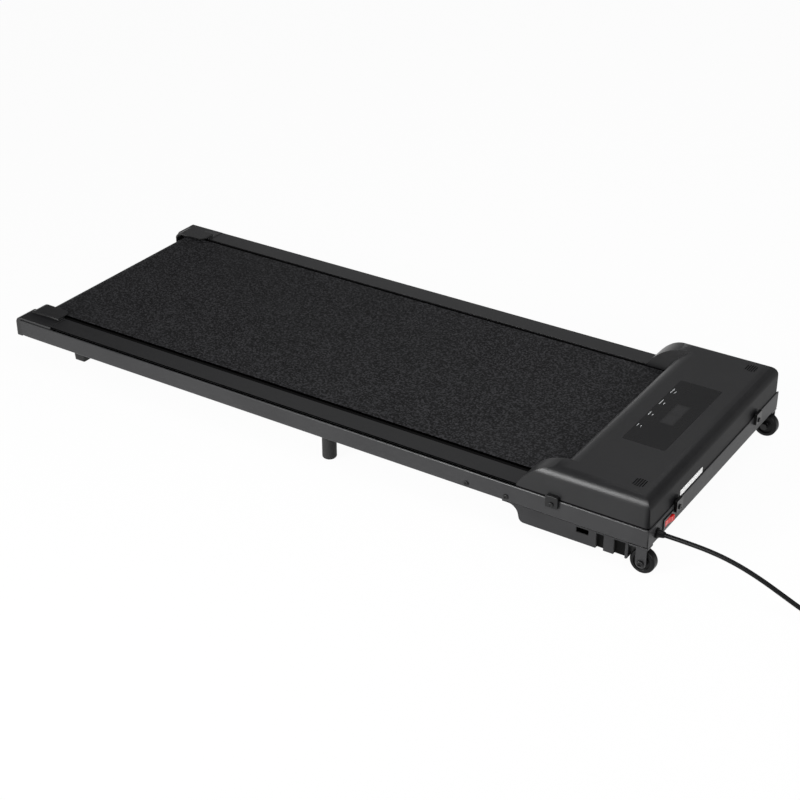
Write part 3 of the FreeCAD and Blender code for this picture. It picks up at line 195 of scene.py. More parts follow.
def satinSockets(sock, place, look):
    grain = sock.noise(place, look["grain"], *satinLook["fine"])
    cloud = sock.noise(place, *satinLook["cloud"])
    lift = cloud.ramp(*satinLook["cloudRamp"]) * satinLook["cloudTone"] + grain * satinLook["grainTone"]
    rough = look["rough"] + cloud.swing(satinLook["cloudRough"]) + grain.swing(satinLook["grainRough"])
    return {
        "Base Color": sock.blend(lift, colour(*look["dark"]), colour(*look["light"])),
        "Roughness": rough,
        "Normal": sock.bump(grain, look["depth"]),
        "Specular IOR Level": look["gloss"],
    }


def plasticFinish(name, look):
    finish, sock = startFinish(name)
    closeFinish(sock, satinSockets(sock, sock.place(), look))
    return finish


# satin pieces with painted shade, dark and dull across an edge on one axis: painted shadow in the seam gap
# at the hood's foot, along the foot strips' outer sides and on the rail tops under them, and painted shade
# in the tray's flutes; the hood's front face is duller as well
shadedLooks = {
    "hood_shell": {"dark": (20, 20, 21), "light": (27, 27, 28), "rough": 0.36, "gloss": 0.36,
                   "grain": 0.0007, "depth": 0.00003, "axis": 2, "edge": (0.0814, 0.0808),
                   "shade": (2, 2, 2), "dullGloss": 0.04, "front": (0.604, 0.613)},
    "foot_strip": {"dark": (16, 16, 17), "light": (23, 23, 24), "rough": 0.34, "gloss": 0.44,
                   "grain": 0.0009, "depth": 0.00005, "axis": 1, "edge": (0.2427, 0.2431),
                   "shade": (1, 1, 1), "dullGloss": 0.0},
    "rail_steel": {"dark": (38, 38, 39), "light": (45, 45, 46), "rough": 0.34, "gloss": 0.36,
                   "grain": 0.0022, "depth": 0.00003, "axis": 2, "edge": (0.07865, 0.07885),
                   "shade": (1, 1, 1), "dullGloss": 0.0},
    "tray_plastic": {"dark": (34, 34, 35), "light": (43, 43, 44), "rough": 0.58, "gloss": 0.24,
                     "grain": 0.0011, "depth": 0.00006, "axis": 1, "edge": (0.2428, 0.2395),
                     "shade": (9, 9, 9), "dullGloss": 0.05},
}


def shadedFinish(name, look):
    finish, sock = startFinish(name)
    place = sock.place()
    axes = sock.axes(place)
    satin = satinSockets(sock, place, look)
    # painted shade: across the edge the colour turns to the look's shade tone and the gloss drops
    shadow = sock.math("ABSOLUTE", axes[look["axis"]]).ramp(*look["edge"])
    shadeAndDull = dict(satin)
    shadeAndDull["Base Color"] = sock.blend(shadow, satin["Base Color"], colour(*look["shade"]))
    shadeAndDull["Specular IOR Level"] = look["dullGloss"]
    share = shadow
    if "front" in look:
        share = axes[0].ramp(*look["front"]).larger(shadow)
    closeMix(sock, share, sock.principled(satin), sock.principled(shadeAndDull))
    return finish


# painted steel: satin coat with a little orange peel
paintLook = {"peel": (1.0, 0.4), "fleck": (0.0006, 1.0, 0.5), "cloud": (0.12, 2.0, 0.5),
             "cloudRamp": (0.3, 0.7), "cloudTone": 0.5, "fleckTone": 0.5, "cloudRough": 0.10,
             "fleckRough": 0.06}
steelLooks = {
    "frame_steel": {"dark": (38, 38, 39), "light": (45, 45, 46), "rough": 0.34, "gloss": 0.36,
                    "peel": 0.0022, "depth": 0.00003},
    # plate_steel is the frame paint again, lighter and less glossy: painted light for the lit front plate
    "plate_steel": {"dark": (48, 48, 49), "light": (56, 56, 57), "rough": 0.40, "gloss": 0.13,
                    "peel": 0.0022, "depth": 0.00003},
    "black_steel": {"dark": (9, 9, 10), "light": (14, 14, 15), "rough": 0.36, "gloss": 0.36,
                    "peel": 0.0012, "depth": 0.00002},
    "motor_paint": {"dark": (30, 30, 32), "light": (38, 38, 40), "rough": 0.30, "gloss": 0.50,
                    "peel": 0.0020, "depth": 0.00003},
}


def paintFinish(name, look):
    finish, sock = startFinish(name)
    place = sock.place()
    peel = sock.noise(place, look["peel"], *paintLook["peel"])
    fleck = sock.noise(place, *paintLook["fleck"])
    cloud = sock.noise(place, *paintLook["cloud"])
    lift = cloud.ramp(*paintLook["cloudRamp"]) * paintLook["cloudTone"] + fleck * paintLook["fleckTone"]
    rough = look["rough"] + cloud.swing(paintLook["cloudRough"]) + fleck.swing(paintLook["fleckRough"])
    closeFinish(sock, {
        "Base Color": sock.blend(lift, colour(*look["dark"]), colour(*look["light"])),
        "Roughness": rough,
        "Normal": sock.bump(peel, look["depth"]),
        "Specular IOR Level": look["gloss"],
    })
    return finish


# bare metals: fine drawn lines along one axis
drawnLook = {"lines": (0.02, 3.0, 0.6), "smear": (0.02, 3.0, 0.6), "lineRamp": (0.3, 0.7),
             "smearRough": 0.25, "depth": 0.00002}
metalLooks = {
    "plain_steel": {"dark": (150, 151, 154), "light": (188, 189, 191), "rough": 0.30,
                    "along": (40.0, 1.5, 40.0)},
    "flywheel_iron": {"dark": (84, 84, 87), "light": (112, 112, 114), "rough": 0.46,
                      "along": (30.0, 2.0, 30.0)},
    "pulley_alloy": {"dark": (166, 168, 172), "light": (196, 197, 200), "rough": 0.32,
                     "along": (40.0, 2.0, 40.0)},
    "sink_alloy": {"dark": (150, 152, 156), "light": (178, 180, 183), "rough": 0.40,
                   "along": (2.0, 40.0, 40.0)},
}


def metalFinish(name, look):
    finish, sock = startFinish(name)
    place = sock.place()
    lines = sock.noise(sock.stretch(place, look["along"]), *drawnLook["lines"])
    smear = sock.noise(place, *drawnLook["smear"])
    lift = lines.ramp(*drawnLook["lineRamp"])
    closeFinish(sock, {
        "Base Color": sock.blend(lift, colour(*look["dark"]), colour(*look["light"])),
        "Roughness": look["rough"] + smear.swing(drawnLook["smearRough"]),
        "Normal": sock.bump(lines, drawnLook["depth"]),
        "Metallic": 1.0,
    })
    return finish


# rubbers: dull, with a soft mottle
mottleLook = {"grain": (3.0, 0.6), "cloud": (0.02, 3.0, 0.6), "cloudTone": 0.6, "grainTone": 0.4,
              "cloudRough": 0.2, "gloss": 0.4}
rubberLooks = {
    "soft_rubber": {"dark": (20, 20, 20), "light": (29, 29, 29), "rough": 0.70,
                    "grain": 0.0014, "depth": 0.00006},
    "drive_rubber": {"dark": (16, 16, 16), "light": (24, 24, 24), "rough": 0.62,
                     "grain": 0.0010, "depth": 0.00005},
}


def rubberFinish(name, look):
    finish, sock = startFinish(name)
    place = sock.place()
    grain = sock.noise(place, look["grain"], *mottleLook["grain"])
    cloud = sock.noise(place, *mottleLook["cloud"])
    lift = cloud * mottleLook["cloudTone"] + grain * mottleLook["grainTone"]
    closeFinish(sock, {
        "Base Color": sock.blend(lift, colour(*look["dark"]), colour(*look["light"])),
        "Roughness": look["rough"] + cloud.swing(mottleLook["cloudRough"]),
        "Normal": sock.bump(grain, look["depth"]),
        "Specular IOR Level": mottleLook["gloss"],
    })
    return finish


# the running surface: pressed pebble grain under fine specks, with painted shade: black along its side and
# the outer few millimetres of its top, for the gap beside the foot rails
beltLook = {
    "dark": (5, 5, 6), "light": (56, 56, 58), "rough": 0.62, "gloss": 0.2, "pebble": 0.0036,
    "driftScale": 160.0, "driftDetail": 1.0, "driftReach": 0.003, "crown": (0.1, 0.75), "depth": 0.0003,
    "strength": 0.8, "speck": (0.0036, 2.0, 0.6), "speckRamp": (0.44, 0.64), "cloud": (0.05, 2.0, 0.5),
    "speckTone": 0.80, "crownTone": 0.12, "cloudTone": 0.15, "speckRough": 0.25,
    "edge": (0.1944, 0.1948), "gapShadeColour": (1, 1, 1), "gapShadeRough": 0.8,
}


def beltFinish(name):
    finish, sock = startFinish(name)
    place = sock.place()
    drift = sock.add("ShaderNodeTexNoise", None, {
        "Vector": place, "Scale": beltLook["driftScale"], "Detail": beltLook["driftDetail"]}, 1)
    reach = beltLook["driftReach"]
    bent = sock.add("ShaderNodeVectorMath", {"operation": "MULTIPLY_ADD"},
                    {0: drift, 1: (reach, reach, reach), 2: place})
    crown = 1.0 - sock.cells(bent, beltLook["pebble"]).ramp(*beltLook["crown"])
    speck = sock.noise(place, *beltLook["speck"])
    cloud = sock.noise(place, *beltLook["cloud"])
    lift = speck.ramp(*beltLook["speckRamp"]) * beltLook["speckTone"] + crown * beltLook["crownTone"]
    lift = lift + cloud.swing(beltLook["cloudTone"])
    grained = sock.principled({
        "Base Color": sock.blend(lift, colour(*beltLook["dark"]), colour(*beltLook["light"])),
        "Roughness": beltLook["rough"] + speck.swing(beltLook["speckRough"]),
        "Normal": sock.bump(crown, beltLook["depth"], beltLook["strength"]),
        "Specular IOR Level": beltLook["gloss"],
    })
    # painted shade of the gap beside the belt, black and without gloss
    cut = sock.principled({
        "Base Color": colour(*beltLook["gapShadeColour"]),
        "Roughness": beltLook["gapShadeRough"],
        "Specular IOR Level": 0.0,
    })
    edge = sock.math("ABSOLUTE", sock.axes(place)[1]).ramp(*beltLook["edge"])
    closeMix(sock, edge, grained, cut)
    return finish


# the deck board's finish: dense fibre board, near black all over as painted shade where it shows in the gap
# beside the belt
woodLook = {"dark": (3, 3, 3), "light": (9, 8, 8), "along": (1.0, 3.0, 3.0), "fibre": (0.004, 4.0, 0.65),
            "patch": (0.03, 2.0, 0.5), "fibreTone": 0.7, "patchTone": 0.3, "rough": 0.75, "patchRough": 0.2,
            "depth": 0.00008, "gloss": 0.1}


def woodFinish(name):
    finish, sock = startFinish(name)
    place = sock.place()
    fibre = sock.noise(sock.stretch(place, woodLook["along"]), *woodLook["fibre"])
    patch = sock.noise(place, *woodLook["patch"])
    lift = fibre * woodLook["fibreTone"] + patch * woodLook["patchTone"]
    closeFinish(sock, {
        "Base Color": sock.blend(lift, colour(*woodLook["dark"]), colour(*woodLook["light"])),
        "Roughness": woodLook["rough"] + patch.swing(woodLook["patchRough"]),
        "Normal": sock.bump(fibre, woodLook["depth"]),
        "Specular IOR Level": woodLook["gloss"],
    })
    return finish


# circuit boards: green mask over a grid of copper runs
circuitLook = {"dark": (18, 62, 38), "light": (26, 80, 50), "copper": (66, 118, 70), "offset": 0.37,
               "scale": 60.0, "gap": 0.05, "width": 0.7, "row": 0.18, "mottle": (0.01, 2.0, 0.5),
               "runTone": 0.6, "rough": 0.32, "mottleRough": 0.15, "depth": 0.00004}


def circuitFinish(name):
    finish, sock = startFinish(name)
    place = sock.place()
    runs = sock.add("ShaderNodeTexBrick", {"offset": circuitLook["offset"]}, {
        "Vector": place, "Scale": circuitLook["scale"], "Mortar Size": circuitLook["gap"],
        "Brick Width": circuitLook["width"], "Row Height": circuitLook["row"]}, 1)
    mottle = sock.noise(place, *circuitLook["mottle"])
    body = sock.blend(mottle, colour(*circuitLook["dark"]), colour(*circuitLook["light"]))
    closeFinish(sock, {
        "Base Color": sock.blend(runs * circuitLook["runTone"], body, colour(*circuitLook["copper"])),
        "Roughness": circuitLook["rough"] + mottle.swing(circuitLook["mottleRough"]),
        "Normal": sock.bump(runs, circuitLook["depth"]),
    })
    return finish


# the panel film: satin black print with a plain bar and a dash for each touch key, as (centre, half length)
panelLook = {"film": (9, 9, 10), "sheen": (13, 13, 14), "mark": (214, 216, 218), "barX": 0.5035,
             "dashX": 0.5095, "line": 0.0006, "dashShift": 0.35, "dashShare": 0.45,
             "keys": [(0.068, 0.0080), (0.026, 0.0080), (-0.016, 0.0060), (-0.0575, 0.0040)],
             "fine": (0.0008, 2.0, 0.6), "cloud": (0.05, 2.0, 0.5), "markTone": 0.75, "rough": 0.27,
             "cloudRough": 0.10, "depth": 0.000006, "gloss": 0.20}


def panelFinish(name):
    finish, sock = startFinish(name)
    place = sock.place()
    x, y = sock.axes(place)[:2]
    onBar = x.near(panelLook["barX"], panelLook["line"])
    onDash = x.near(panelLook["dashX"], panelLook["line"])
    marks = None
    for centre, half in panelLook["keys"]:
        bar = onBar * y.near(centre, half)
        dash = onDash * y.near(centre - half * panelLook["dashShift"], half * panelLook["dashShare"])
        both = bar.larger(dash)
        marks = both if marks is None else marks.larger(both)
    fine = sock.noise(place, *panelLook["fine"])
    cloud = sock.noise(place, *panelLook["cloud"])
    film = sock.blend(cloud, colour(*panelLook["film"]), colour(*panelLook["sheen"]))
    closeFinish(sock, {
        "Base Color": sock.blend(marks * panelLook["markTone"], film, colour(*panelLook["mark"])),
        "Roughness": panelLook["rough"] + cloud.swing(panelLook["cloudRough"]),
        "Normal": sock.bump(fine, panelLook["depth"]),
        "Specular IOR Level": panelLook["gloss"],
    })
    return finish


# the display window: smoked film over two number fields, as (centre, half length), dark while it is off
windowLook = {"smoke": (15, 15, 16), "field": (25, 25, 26), "x": 0.539, "halfX": 0.0080,
              "fields": [(0.0155, 0.0130), (-0.0155, 0.0130)], "cloud": (0.03, 2.0, 0.5),
              "fieldTone": 0.8, "cloudTone": 0.2, "rough": 0.26, "cloudRough": 0.10, "gloss": 0.36}


def windowFinish(name):
    finish, sock = startFinish(name)
    place = sock.place()
    x, y = sock.axes(place)[:2]
    across = x.near(windowLook["x"], windowLook["halfX"])
    fields = None
    for centre, half in windowLook["fields"]:
        field = across * y.near(centre, half)
        fields = field if fields is None else fields.larger(field)
    cloud = sock.noise(place, *windowLook["cloud"])
    lift = fields * (windowLook["fieldTone"] + cloud * windowLook["cloudTone"])
    closeFinish(sock, {
        "Base Color": sock.blend(lift, colour(*windowLook["smoke"]), colour(*windowLook["field"])),
        "Roughness": windowLook["rough"] + cloud.swing(windowLook["cloudRough"]),
        "Specular IOR Level": windowLook["gloss"],
    })
    return finish


# the blank sticker: matt white film
stickerLook = {"dark": (243, 243, 242), "light": (252, 252, 251), "fibre": (0.0006, 3.0, 0.6),
               "cloud": (0.02, 2.0, 0.5), "cloudTone": 0.6, "fibreTone": 0.4, "rough": 0.55,
               "fibreRough": 0.15, "depth": 0.00001}


def stickerFinish(name):
    finish, sock = startFinish(name)
    place = sock.place()
    fibre = sock.noise(place, *stickerLook["fibre"])
    cloud = sock.noise(place, *stickerLook["cloud"])
    lift = cloud * stickerLook["cloudTone"] + fibre * stickerLook["fibreTone"]
    closeFinish(sock, {
        "Base Color": sock.blend(lift, colour(*stickerLook["dark"]), colour(*stickerLook["light"])),
        "Roughness": stickerLook["rough"] + fibre.swing(stickerLook["fibreRough"]),
        "Normal": sock.bump(fibre, stickerLook["depth"]),
    })
    return finish


# the rocker: clear red moulding with a line and a ring printed on its face
rockerLook = {"deep": (178, 10, 10), "red": (212, 20, 18), "print": (250, 214, 206), "reach": 0.26,
              "lineHalf": 0.0006, "lineTall": 0.0030, "ring": 0.0027, "ringHalf": 0.0005,
              "cloud": (0.004, 2.0, 0.5), "printTone": 0.3, "rough": 0.24, "cloudRough": 0.08, "gloss": 0.4}


def rockerFinish(name):
    finish, sock = startFinish(name)
    place = sock.place()
    y, z = sock.axes(place)[1:]
    low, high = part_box("switch_rocker")
    midY = (low.y + high.y) * 0.5
    midZ = (low.z + high.z) * 0.5
    reach = (high.y - low.y) * rockerLook["reach"]
    line = y.near(midY + reach, rockerLook["lineHalf"]) * z.near(midZ, rockerLook["lineTall"])
    awayY = y - (midY - reach)
    awayZ = z - midZ
    away = sock.math("SQRT", awayY * awayY + awayZ * awayZ)
    ring = away.near(rockerLook["ring"], rockerLook["ringHalf"])
    cloud = sock.noise(place, *rockerLook["cloud"])
    body = sock.blend(cloud, colour(*rockerLook["deep"]), colour(*rockerLook["red"]))
    printed = line.larger(ring) * rockerLook["printTone"]
    closeFinish(sock, {
        "Base Color": sock.blend(printed, body, colour(*rockerLook["print"])),
        "Roughness": rockerLook["rough"] + cloud.swing(rockerLook["cloudRough"]),
        "Specular IOR Level": rockerLook["gloss"],
    })
    return finish


finishes = {}
families = [(plasticLooks, plasticFinish), (shadedLooks, shadedFinish), (steelLooks, paintFinish),
            (metalLooks, metalFinish), (rubberLooks, rubberFinish)]
for looks, makeFinish in families:
    for finishName, finishLook in looks.items():
        finishes[finishName] = makeFinish(finishName, finishLook)
singles = {"belt_rubber": beltFinish, "deck_wood": woodFinish, "board_green": circuitFinish,
           "panel_film": panelFinish, "window_film": windowFinish, "white_film": stickerFinish,
           "switch_red": rockerFinish}
for finishName, makeFinish in singles.items():
    finishes[finishName] = makeFinish(finishName)

# pieces that look different from the rest of their slot
ownFinish = {"hood": "hood_shell", "motor_tray": "tray_plastic", "front_beam": "plate_steel",
             "left_rear_cap": "cap_plastic", "right_rear_cap": "cap_plastic",
             "left_foot_rail": "foot_strip", "right_foot_rail": "foot_strip",
             "left_rail": "rail_steel", "right_rail": "rail_steel",
             "front_clips": "switch_black", "side_clips": "switch_black"}
for nodeName, nodeObject in nodes.items():
    nodeObject.data.materials.clear()
    nodeObject.data.materials.append(finishes[ownFinish.get(nodeName, slotOf[nodeName])])
print("finishes made:", len(finishes))


def linkMesh(name, shape, finish):
    mesh = bpy.data.meshes.new(name)
    shape.to_mesh(mesh)
    shape.free()
    mesh.materials.append(finish)
    made = bpy.data.objects.new(name, mesh)
    bpy.context.scene.collection.objects.link(made)
    return made


def showPiece(name, shape, finish, body):
    piece = linkMesh(name, shape, finish)
    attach(piece, body)
    return piece


def shadeFaces(shape, smooth):
    for face in shape.faces:
        face.smooth = smooth


def evenShade(piece, keepSharp):
    even = piece.modifiers.new("evenShade", "WEIGHTED_NORMAL")
    even.keep_sharp = keepSharp


# the node's own form with its sharp edges eased, as pressed and moulded pieces have them
easedEdges = {
    "left_rail": 0.0026, "right_rail": 0.0026, "front_beam": 0.0012, "motor_tray": 0.0010,
    "left_foot_rail": 0.0006, "right_foot_rail": 0.0006, "left_rear_cap": 0.0008, "right_rear_cap": 0.0008,
    "front_clips": 0.0007, "side_clips": 0.0007, "clip_screws": 0.0003, "rail_screws": 0.0003,
    "left_wheel": 0.0009, "right_wheel": 0.0009, "left_wheel_bracket": 0.0004, "right_wheel_bracket": 0.0004,
    "wheel_bolts": 0.0003, "left_mid_foot": 0.0008, "right_mid_foot": 0.0008, "rear_feet": 0.0008,
    "rear_foot_brackets": 0.0004, "switch_housing": 0.0006, "switch_rocker": 0.0008, "cord_gland": 0.0004,
}
longEdge = {"left_rail": 0.2, "right_rail": 0.2, "front_beam": 0.2}     # here only longer edges are eased
easeLook = {"weld": 0.00001, "flat": math.radians(1.0), "corner": 0.6, "segments": 3, "sliver": 0.000003}


def copyNode(name):
    shape = bmesh.new()
    shape.from_mesh(nodes[name].data)
    bmesh.ops.remove_doubles(shape, verts=shape.verts, dist=easeLook["weld"])
    return shape


def joinFlats(shape):
    bmesh.ops.dissolve_limit(shape, angle_limit=easeLook["flat"], verts=shape.verts, edges=shape.edges)


def easeEdges(shape, edges, width, segments):
    bmesh.ops.bevel(shape, geom=edges, offset=width, affect="EDGES", segments=segments, profile=0.5,
                    material=-1, clamp_overlap=True)


def dropSlivers(shape, tiny):                    # a clamped bevel can leave faces without area
    bmesh.ops.remove_doubles(shape, verts=shape.verts, dist=tiny)
    bmesh.ops.dissolve_degenerate(shape, edges=shape.edges, dist=tiny)
    idle = [vert for vert in shape.verts if len(vert.link_edges) == 2]
    bmesh.ops.dissolve_verts(shape, verts=idle)


def easeNode(name, width):
    shape = copyNode(name)
    joinFlats(shape)
    least = longEdge.get(name, 0.0)
    sharp = []
    for edge in shape.edges:
        corner = len(edge.link_faces) == 2 and edge.is_convex and edge.calc_face_angle() > easeLook["corner"]
        if corner and edge.calc_length() > least:
            sharp.append(edge)
    easeEdges(shape, sharp, width, easeLook["segments"])
    dropSlivers(shape, easeLook["sliver"])
    shadeFaces(shape, True)
    node = nodes[name]
    piece = showPiece(name + "_eased", shape, node.data.materials[0], node["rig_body"])
    evenShade(piece, False)
    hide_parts(name)
    return piece


# the hood: its seam edge and the edges of the arms over the belt are rounded, the rest stays crisp
hoodLook = {"corner": 0.35, "crease": 0.5, "sliver": 0.00003,
            "seamTop": 0.0793, "seamReach": 0.0012, "seamEdge": 0.0012, "seamSegments": 2,
            "armZ": 0.085, "armInward": -0.5, "armUpward": 0.25, "armEdge": 0.0070, "armSegments": 4}


def easeHood():
    shape = copyNode("hood")
    joinFlats(shape)
    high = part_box("hood")[1]
    seam = []
    arms = []
    for edge in shape.edges:
        if len(edge.link_faces) != 2 or not edge.is_convex or edge.calc_face_angle() < hoodLook["corner"]:
            continue
        middle = (edge.verts[0].co + edge.verts[1].co) * 0.5
        outside = abs(middle.y) > high.y - hoodLook["seamReach"] or middle.x > high.x - hoodLook["seamReach"]
        if outside and max(vert.co.z for vert in edge.verts) < hoodLook["seamTop"]:
            seam.append(edge)
        side = math.copysign(1.0, middle.y)
        inner, outer = sorted(edge.link_faces, key=lambda face: face.normal.y * side)
        steep = inner.normal.y * side < hoodLook["armInward"] and outer.normal.z > hoodLook["armUpward"]
        if steep and middle.z > hoodLook["armZ"]:
            arms.append(edge)
    print("hood edges rounded:", len(seam), "at the seam,", len(arms), "on the arms")
    easeEdges(shape, arms, hoodLook["armEdge"], hoodLook["armSegments"])
    seam = [edge for edge in seam if edge.is_valid]
    easeEdges(shape, seam, hoodLook["seamEdge"], hoodLook["seamSegments"])
    dropSlivers(shape, hoodLook["sliver"])
    shadeFaces(shape, True)
    for edge in shape.edges:
        edge.smooth = len(edge.link_faces) == 2 and edge.calc_face_angle() < hoodLook["crease"]
    piece = showPiece("hood_eased", shape, finishes["hood_shell"], nodes["hood"]["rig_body"])
    evenShade(piece, True)
    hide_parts("hood")


easeHood()
for nodeName, edgeWidth in easedEdges.items():
    easeNode(nodeName, edgeWidth)


# the deck board: shown out to the rails as far as the hood, a dark sheet as painted shade in the gap beside
# the belt, so that no floor shows there
deckLook = {"reach": 0.2044, "stop": 0.3940, "step": 0.0010, "same": 0.00001, "cut": 0.000001}


def widenDeck():
    shape = copyNode("deck_board")
    for cutX in (deckLook["stop"], deckLook["stop"] + deckLook["step"]):
        everything = shape.verts[:] + shape.edges[:] + shape.faces[:]
        bmesh.ops.bisect_plane(shape, geom=everything, dist=deckLook["cut"], plane_co=(cutX, 0.0, 0.0),
                               plane_no=(1.0, 0.0, 0.0))
    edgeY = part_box("deck_board")[1].y - deckLook["same"]
    endX = deckLook["stop"] + deckLook["same"]
    for vert in shape.verts:
        if abs(vert.co.y) > edgeY and vert.co.x < endX:
            vert.co.y = math.copysign(deckLook["reach"], vert.co.y)
    shadeFaces(shape, False)
    piece = showPiece("deck_board_wide", shape, finishes["deck_wood"],
                      nodes["deck_board"]["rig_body"])
    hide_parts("deck_board")


widenDeck()
print("deck board widened")


# the cord: out of the gland, down to the floor, and wound up past the edge of the view
cordLook = {
    "diameter": 0.007, "length": 1.85, "order": 3, "steps": 4, "sides": 5,
    "route": [(0.6295, -0.2180, 0.0625), (0.6710, -0.2180, 0.0625), (0.7110, -0.2187, 0.0606),
              (0.7460, -0.2200, 0.0550), (0.7800, -0.2213, 0.0454), (0.8130, -0.2218, 0.0324),
              (0.8460, -0.2210, 0.0178), (0.8780, -0.2194, 0.0076), (0.9060, -0.2180, 0.0048),
              (0.9380, -0.2180, 0.0048)],
    "coilCentre": (0.9450, -0.1674), "coilRadius": 0.0506, "coilStep": 0.0076, "coilTurns": 6.25,
    "coilRise": 0.0075, "riseTurns": 0.5, "perTurn": 20, "end": (0.9956, -0.1604, 0.0123),
}


def coilPoint(turn):
    middle = cordLook["coilTurns"] * 0.5
    radius = cordLook["coilRadius"] - cordLook["coilStep"] * min(turn, cordLook["coilTurns"] - turn)
    angle = math.tau * turn - math.pi * 0.5
    share = (turn - middle + cordLook["riseTurns"] * 0.5) / cordLook["riseTurns"]
    share = min(max(share, 0.0), 1.0)
    height = cordLook["end"][2] - cordLook["coilRise"] * (1.0 - share * share * (3.0 - 2.0 * share))
    return (cordLook["coilCentre"][0] + radius * math.cos(angle),
            cordLook["coilCentre"][1] + radius * math.sin(angle), height)


def makeCord():
    points = list(cordLook["route"])
    steps = int(cordLook["coilTurns"] * cordLook["perTurn"])
    points += [coilPoint(step / cordLook["perTurn"]) for step in range(steps + 1)]
    points.append(cordLook["end"])
    line = bpy.data.curves.new("mains_cord", "CURVE")
    line.dimensions = "3D"
    spline = line.splines.new("NURBS")
    spline.points.add(len(points) - 1)
    for knot, point in zip(spline.points, points):
        knot.co = (point[0], point[1], point[2], 1.0)
    spline.order_u = cordLook["order"]
    spline.use_endpoint_u = True
    spline.resolution_u = cordLook["steps"]
    line.bevel_depth = cordLook["diameter"] * 0.5
    line.bevel_resolution = cordLook["sides"]
    line.use_fill_caps = True
    line.materials.append(finishes["cord_sheath"])
    piece = bpy.data.objects.new("mains_cord", line)
    bpy.context.scene.collection.objects.link(piece)
    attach(piece, "frame")
    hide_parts("power_cord", "cord_coil")
    return piece


# the plug: a ribbed tail, a gripped body and three pins, lying along +Y from the coil's end;
# a rib's rows are shares of its pitch and radius, the pin's tip is in shares of its radius
plugLook = {
    "tail": cordLook["end"], "tailLength": 0.038, "tailThin": 0.0040, "tailThick": 0.0065,
    "ribs": 6, "ribRows": [(0.10, 0.99), (0.55, 1.0), (0.62, 0.90), (0.92, 0.90)],
    "neckLength": 0.004, "neckShare": 0.9,
    "bodyLength": 0.030, "bodyWidth": 0.026, "bodyHeight": 0.0246, "bodyRound": 0.005, "bodySegments": 4,
    "grips": 4, "gripStart": 0.008, "gripPitch": 0.0042, "gripLength": 0.0020, "gripHalf": 0.0009,
    "gripLow": 0.0062, "gripHigh": 0.0184, "gripRound": 0.0006,
    "bladeLength": 0.0175, "bladeWidth": 0.0063, "bladeThick": 0.0015, "bladeGap": 0.0127, "bladeZ": 0.0163,
    "bladeRound": 0.0005, "smallSegments": 2, "bury": 0.002,
    "pinLength": 0.020, "pinRadius": 0.00238, "pinZ": 0.0044,
    "pinTip": [(1.0, 1.0), (0.45, 0.84), (0.12, 0.47)], "spinSteps": 28, "weld": 0.00002,
}


def spinProfile(shape, profile, origin):
    # profile rows are (distance along +Y, radius), turned round the line through origin
    rows = [shape.verts.new((origin[0] + radius, origin[1] + along, origin[2])) for along, radius in profile]
    edges = [shape.edges.new((first, second)) for first, second in zip(rows, rows[1:])]
    bmesh.ops.spin(shape, geom=rows + edges, cent=origin, axis=(0, 1, 0), angle=math.tau,
                   steps=plugLook["spinSteps"], use_merge=True)
    bmesh.ops.remove_doubles(shape, verts=shape.verts, dist=plugLook["weld"])
    bmesh.ops.recalc_face_normals(shape, faces=shape.faces)


def roundedBlock(shape, low, high, width, segments):
    made = bmesh.ops.create_cube(shape, size=1.0)["verts"]
    size = [high[axis] - low[axis] for axis in range(3)]
    middle = [(high[axis] + low[axis]) * 0.5 for axis in range(3)]
    bmesh.ops.scale(shape, vec=size, verts=made)
    bmesh.ops.translate(shape, vec=middle, verts=made)
    edges = list({edge for vert in made for edge in vert.link_edges})
    bmesh.ops.bevel(shape, geom=edges, offset=width, affect="EDGES", segments=segments, profile=0.5,
                    material=-1)


def tailProfile():
    thin = plugLook["tailThin"]
    profile = [(0.0, 0.0), (0.0, thin)]
    pitch = plugLook["tailLength"] / plugLook["ribs"]
    for rib in range(plugLook["ribs"]):
        radius = thin + (plugLook["tailThick"] - thin) * (rib + 0.5) / plugLook["ribs"]
        for along, wide in plugLook["ribRows"]:
            profile.append((pitch * (rib + along), radius * wide))
    end = plugLook["tailLength"] + plugLook["neckLength"]
    profile.append((end, plugLook["tailThick"] * plugLook["neckShare"]))
    profile.append((end, 0.0))
    return profile


def makePlugBody(backY, frontY):
    tailX = plugLook["tail"][0]
    shape = bmesh.new()
    spinProfile(shape, tailProfile(), Vector(plugLook["tail"]))
    gripHalf = plugLook["gripHalf"]
    half = plugLook["bodyWidth"] * 0.5 - gripHalf
    roundedBlock(shape, (tailX - half, backY, 0.0), (tailX + half, frontY, plugLook["bodyHeight"]),
                 plugLook["bodyRound"], plugLook["bodySegments"])
    for grip in range(plugLook["grips"]):
        gripY = backY + plugLook["gripStart"] + grip * plugLook["gripPitch"]
        for side in (-1, 1):
            edge = tailX + side * half
            roundedBlock(shape, (edge - gripHalf, gripY, plugLook["gripLow"]),
                         (edge + gripHalf, gripY + plugLook["gripLength"], plugLook["gripHigh"]),
                         plugLook["gripRound"], plugLook["smallSegments"])
    shadeFaces(shape, True)
    body = showPiece("plug_body", shape, finishes["cord_sheath"], "frame")
    evenShade(body, False)
    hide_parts("plug")
    return body


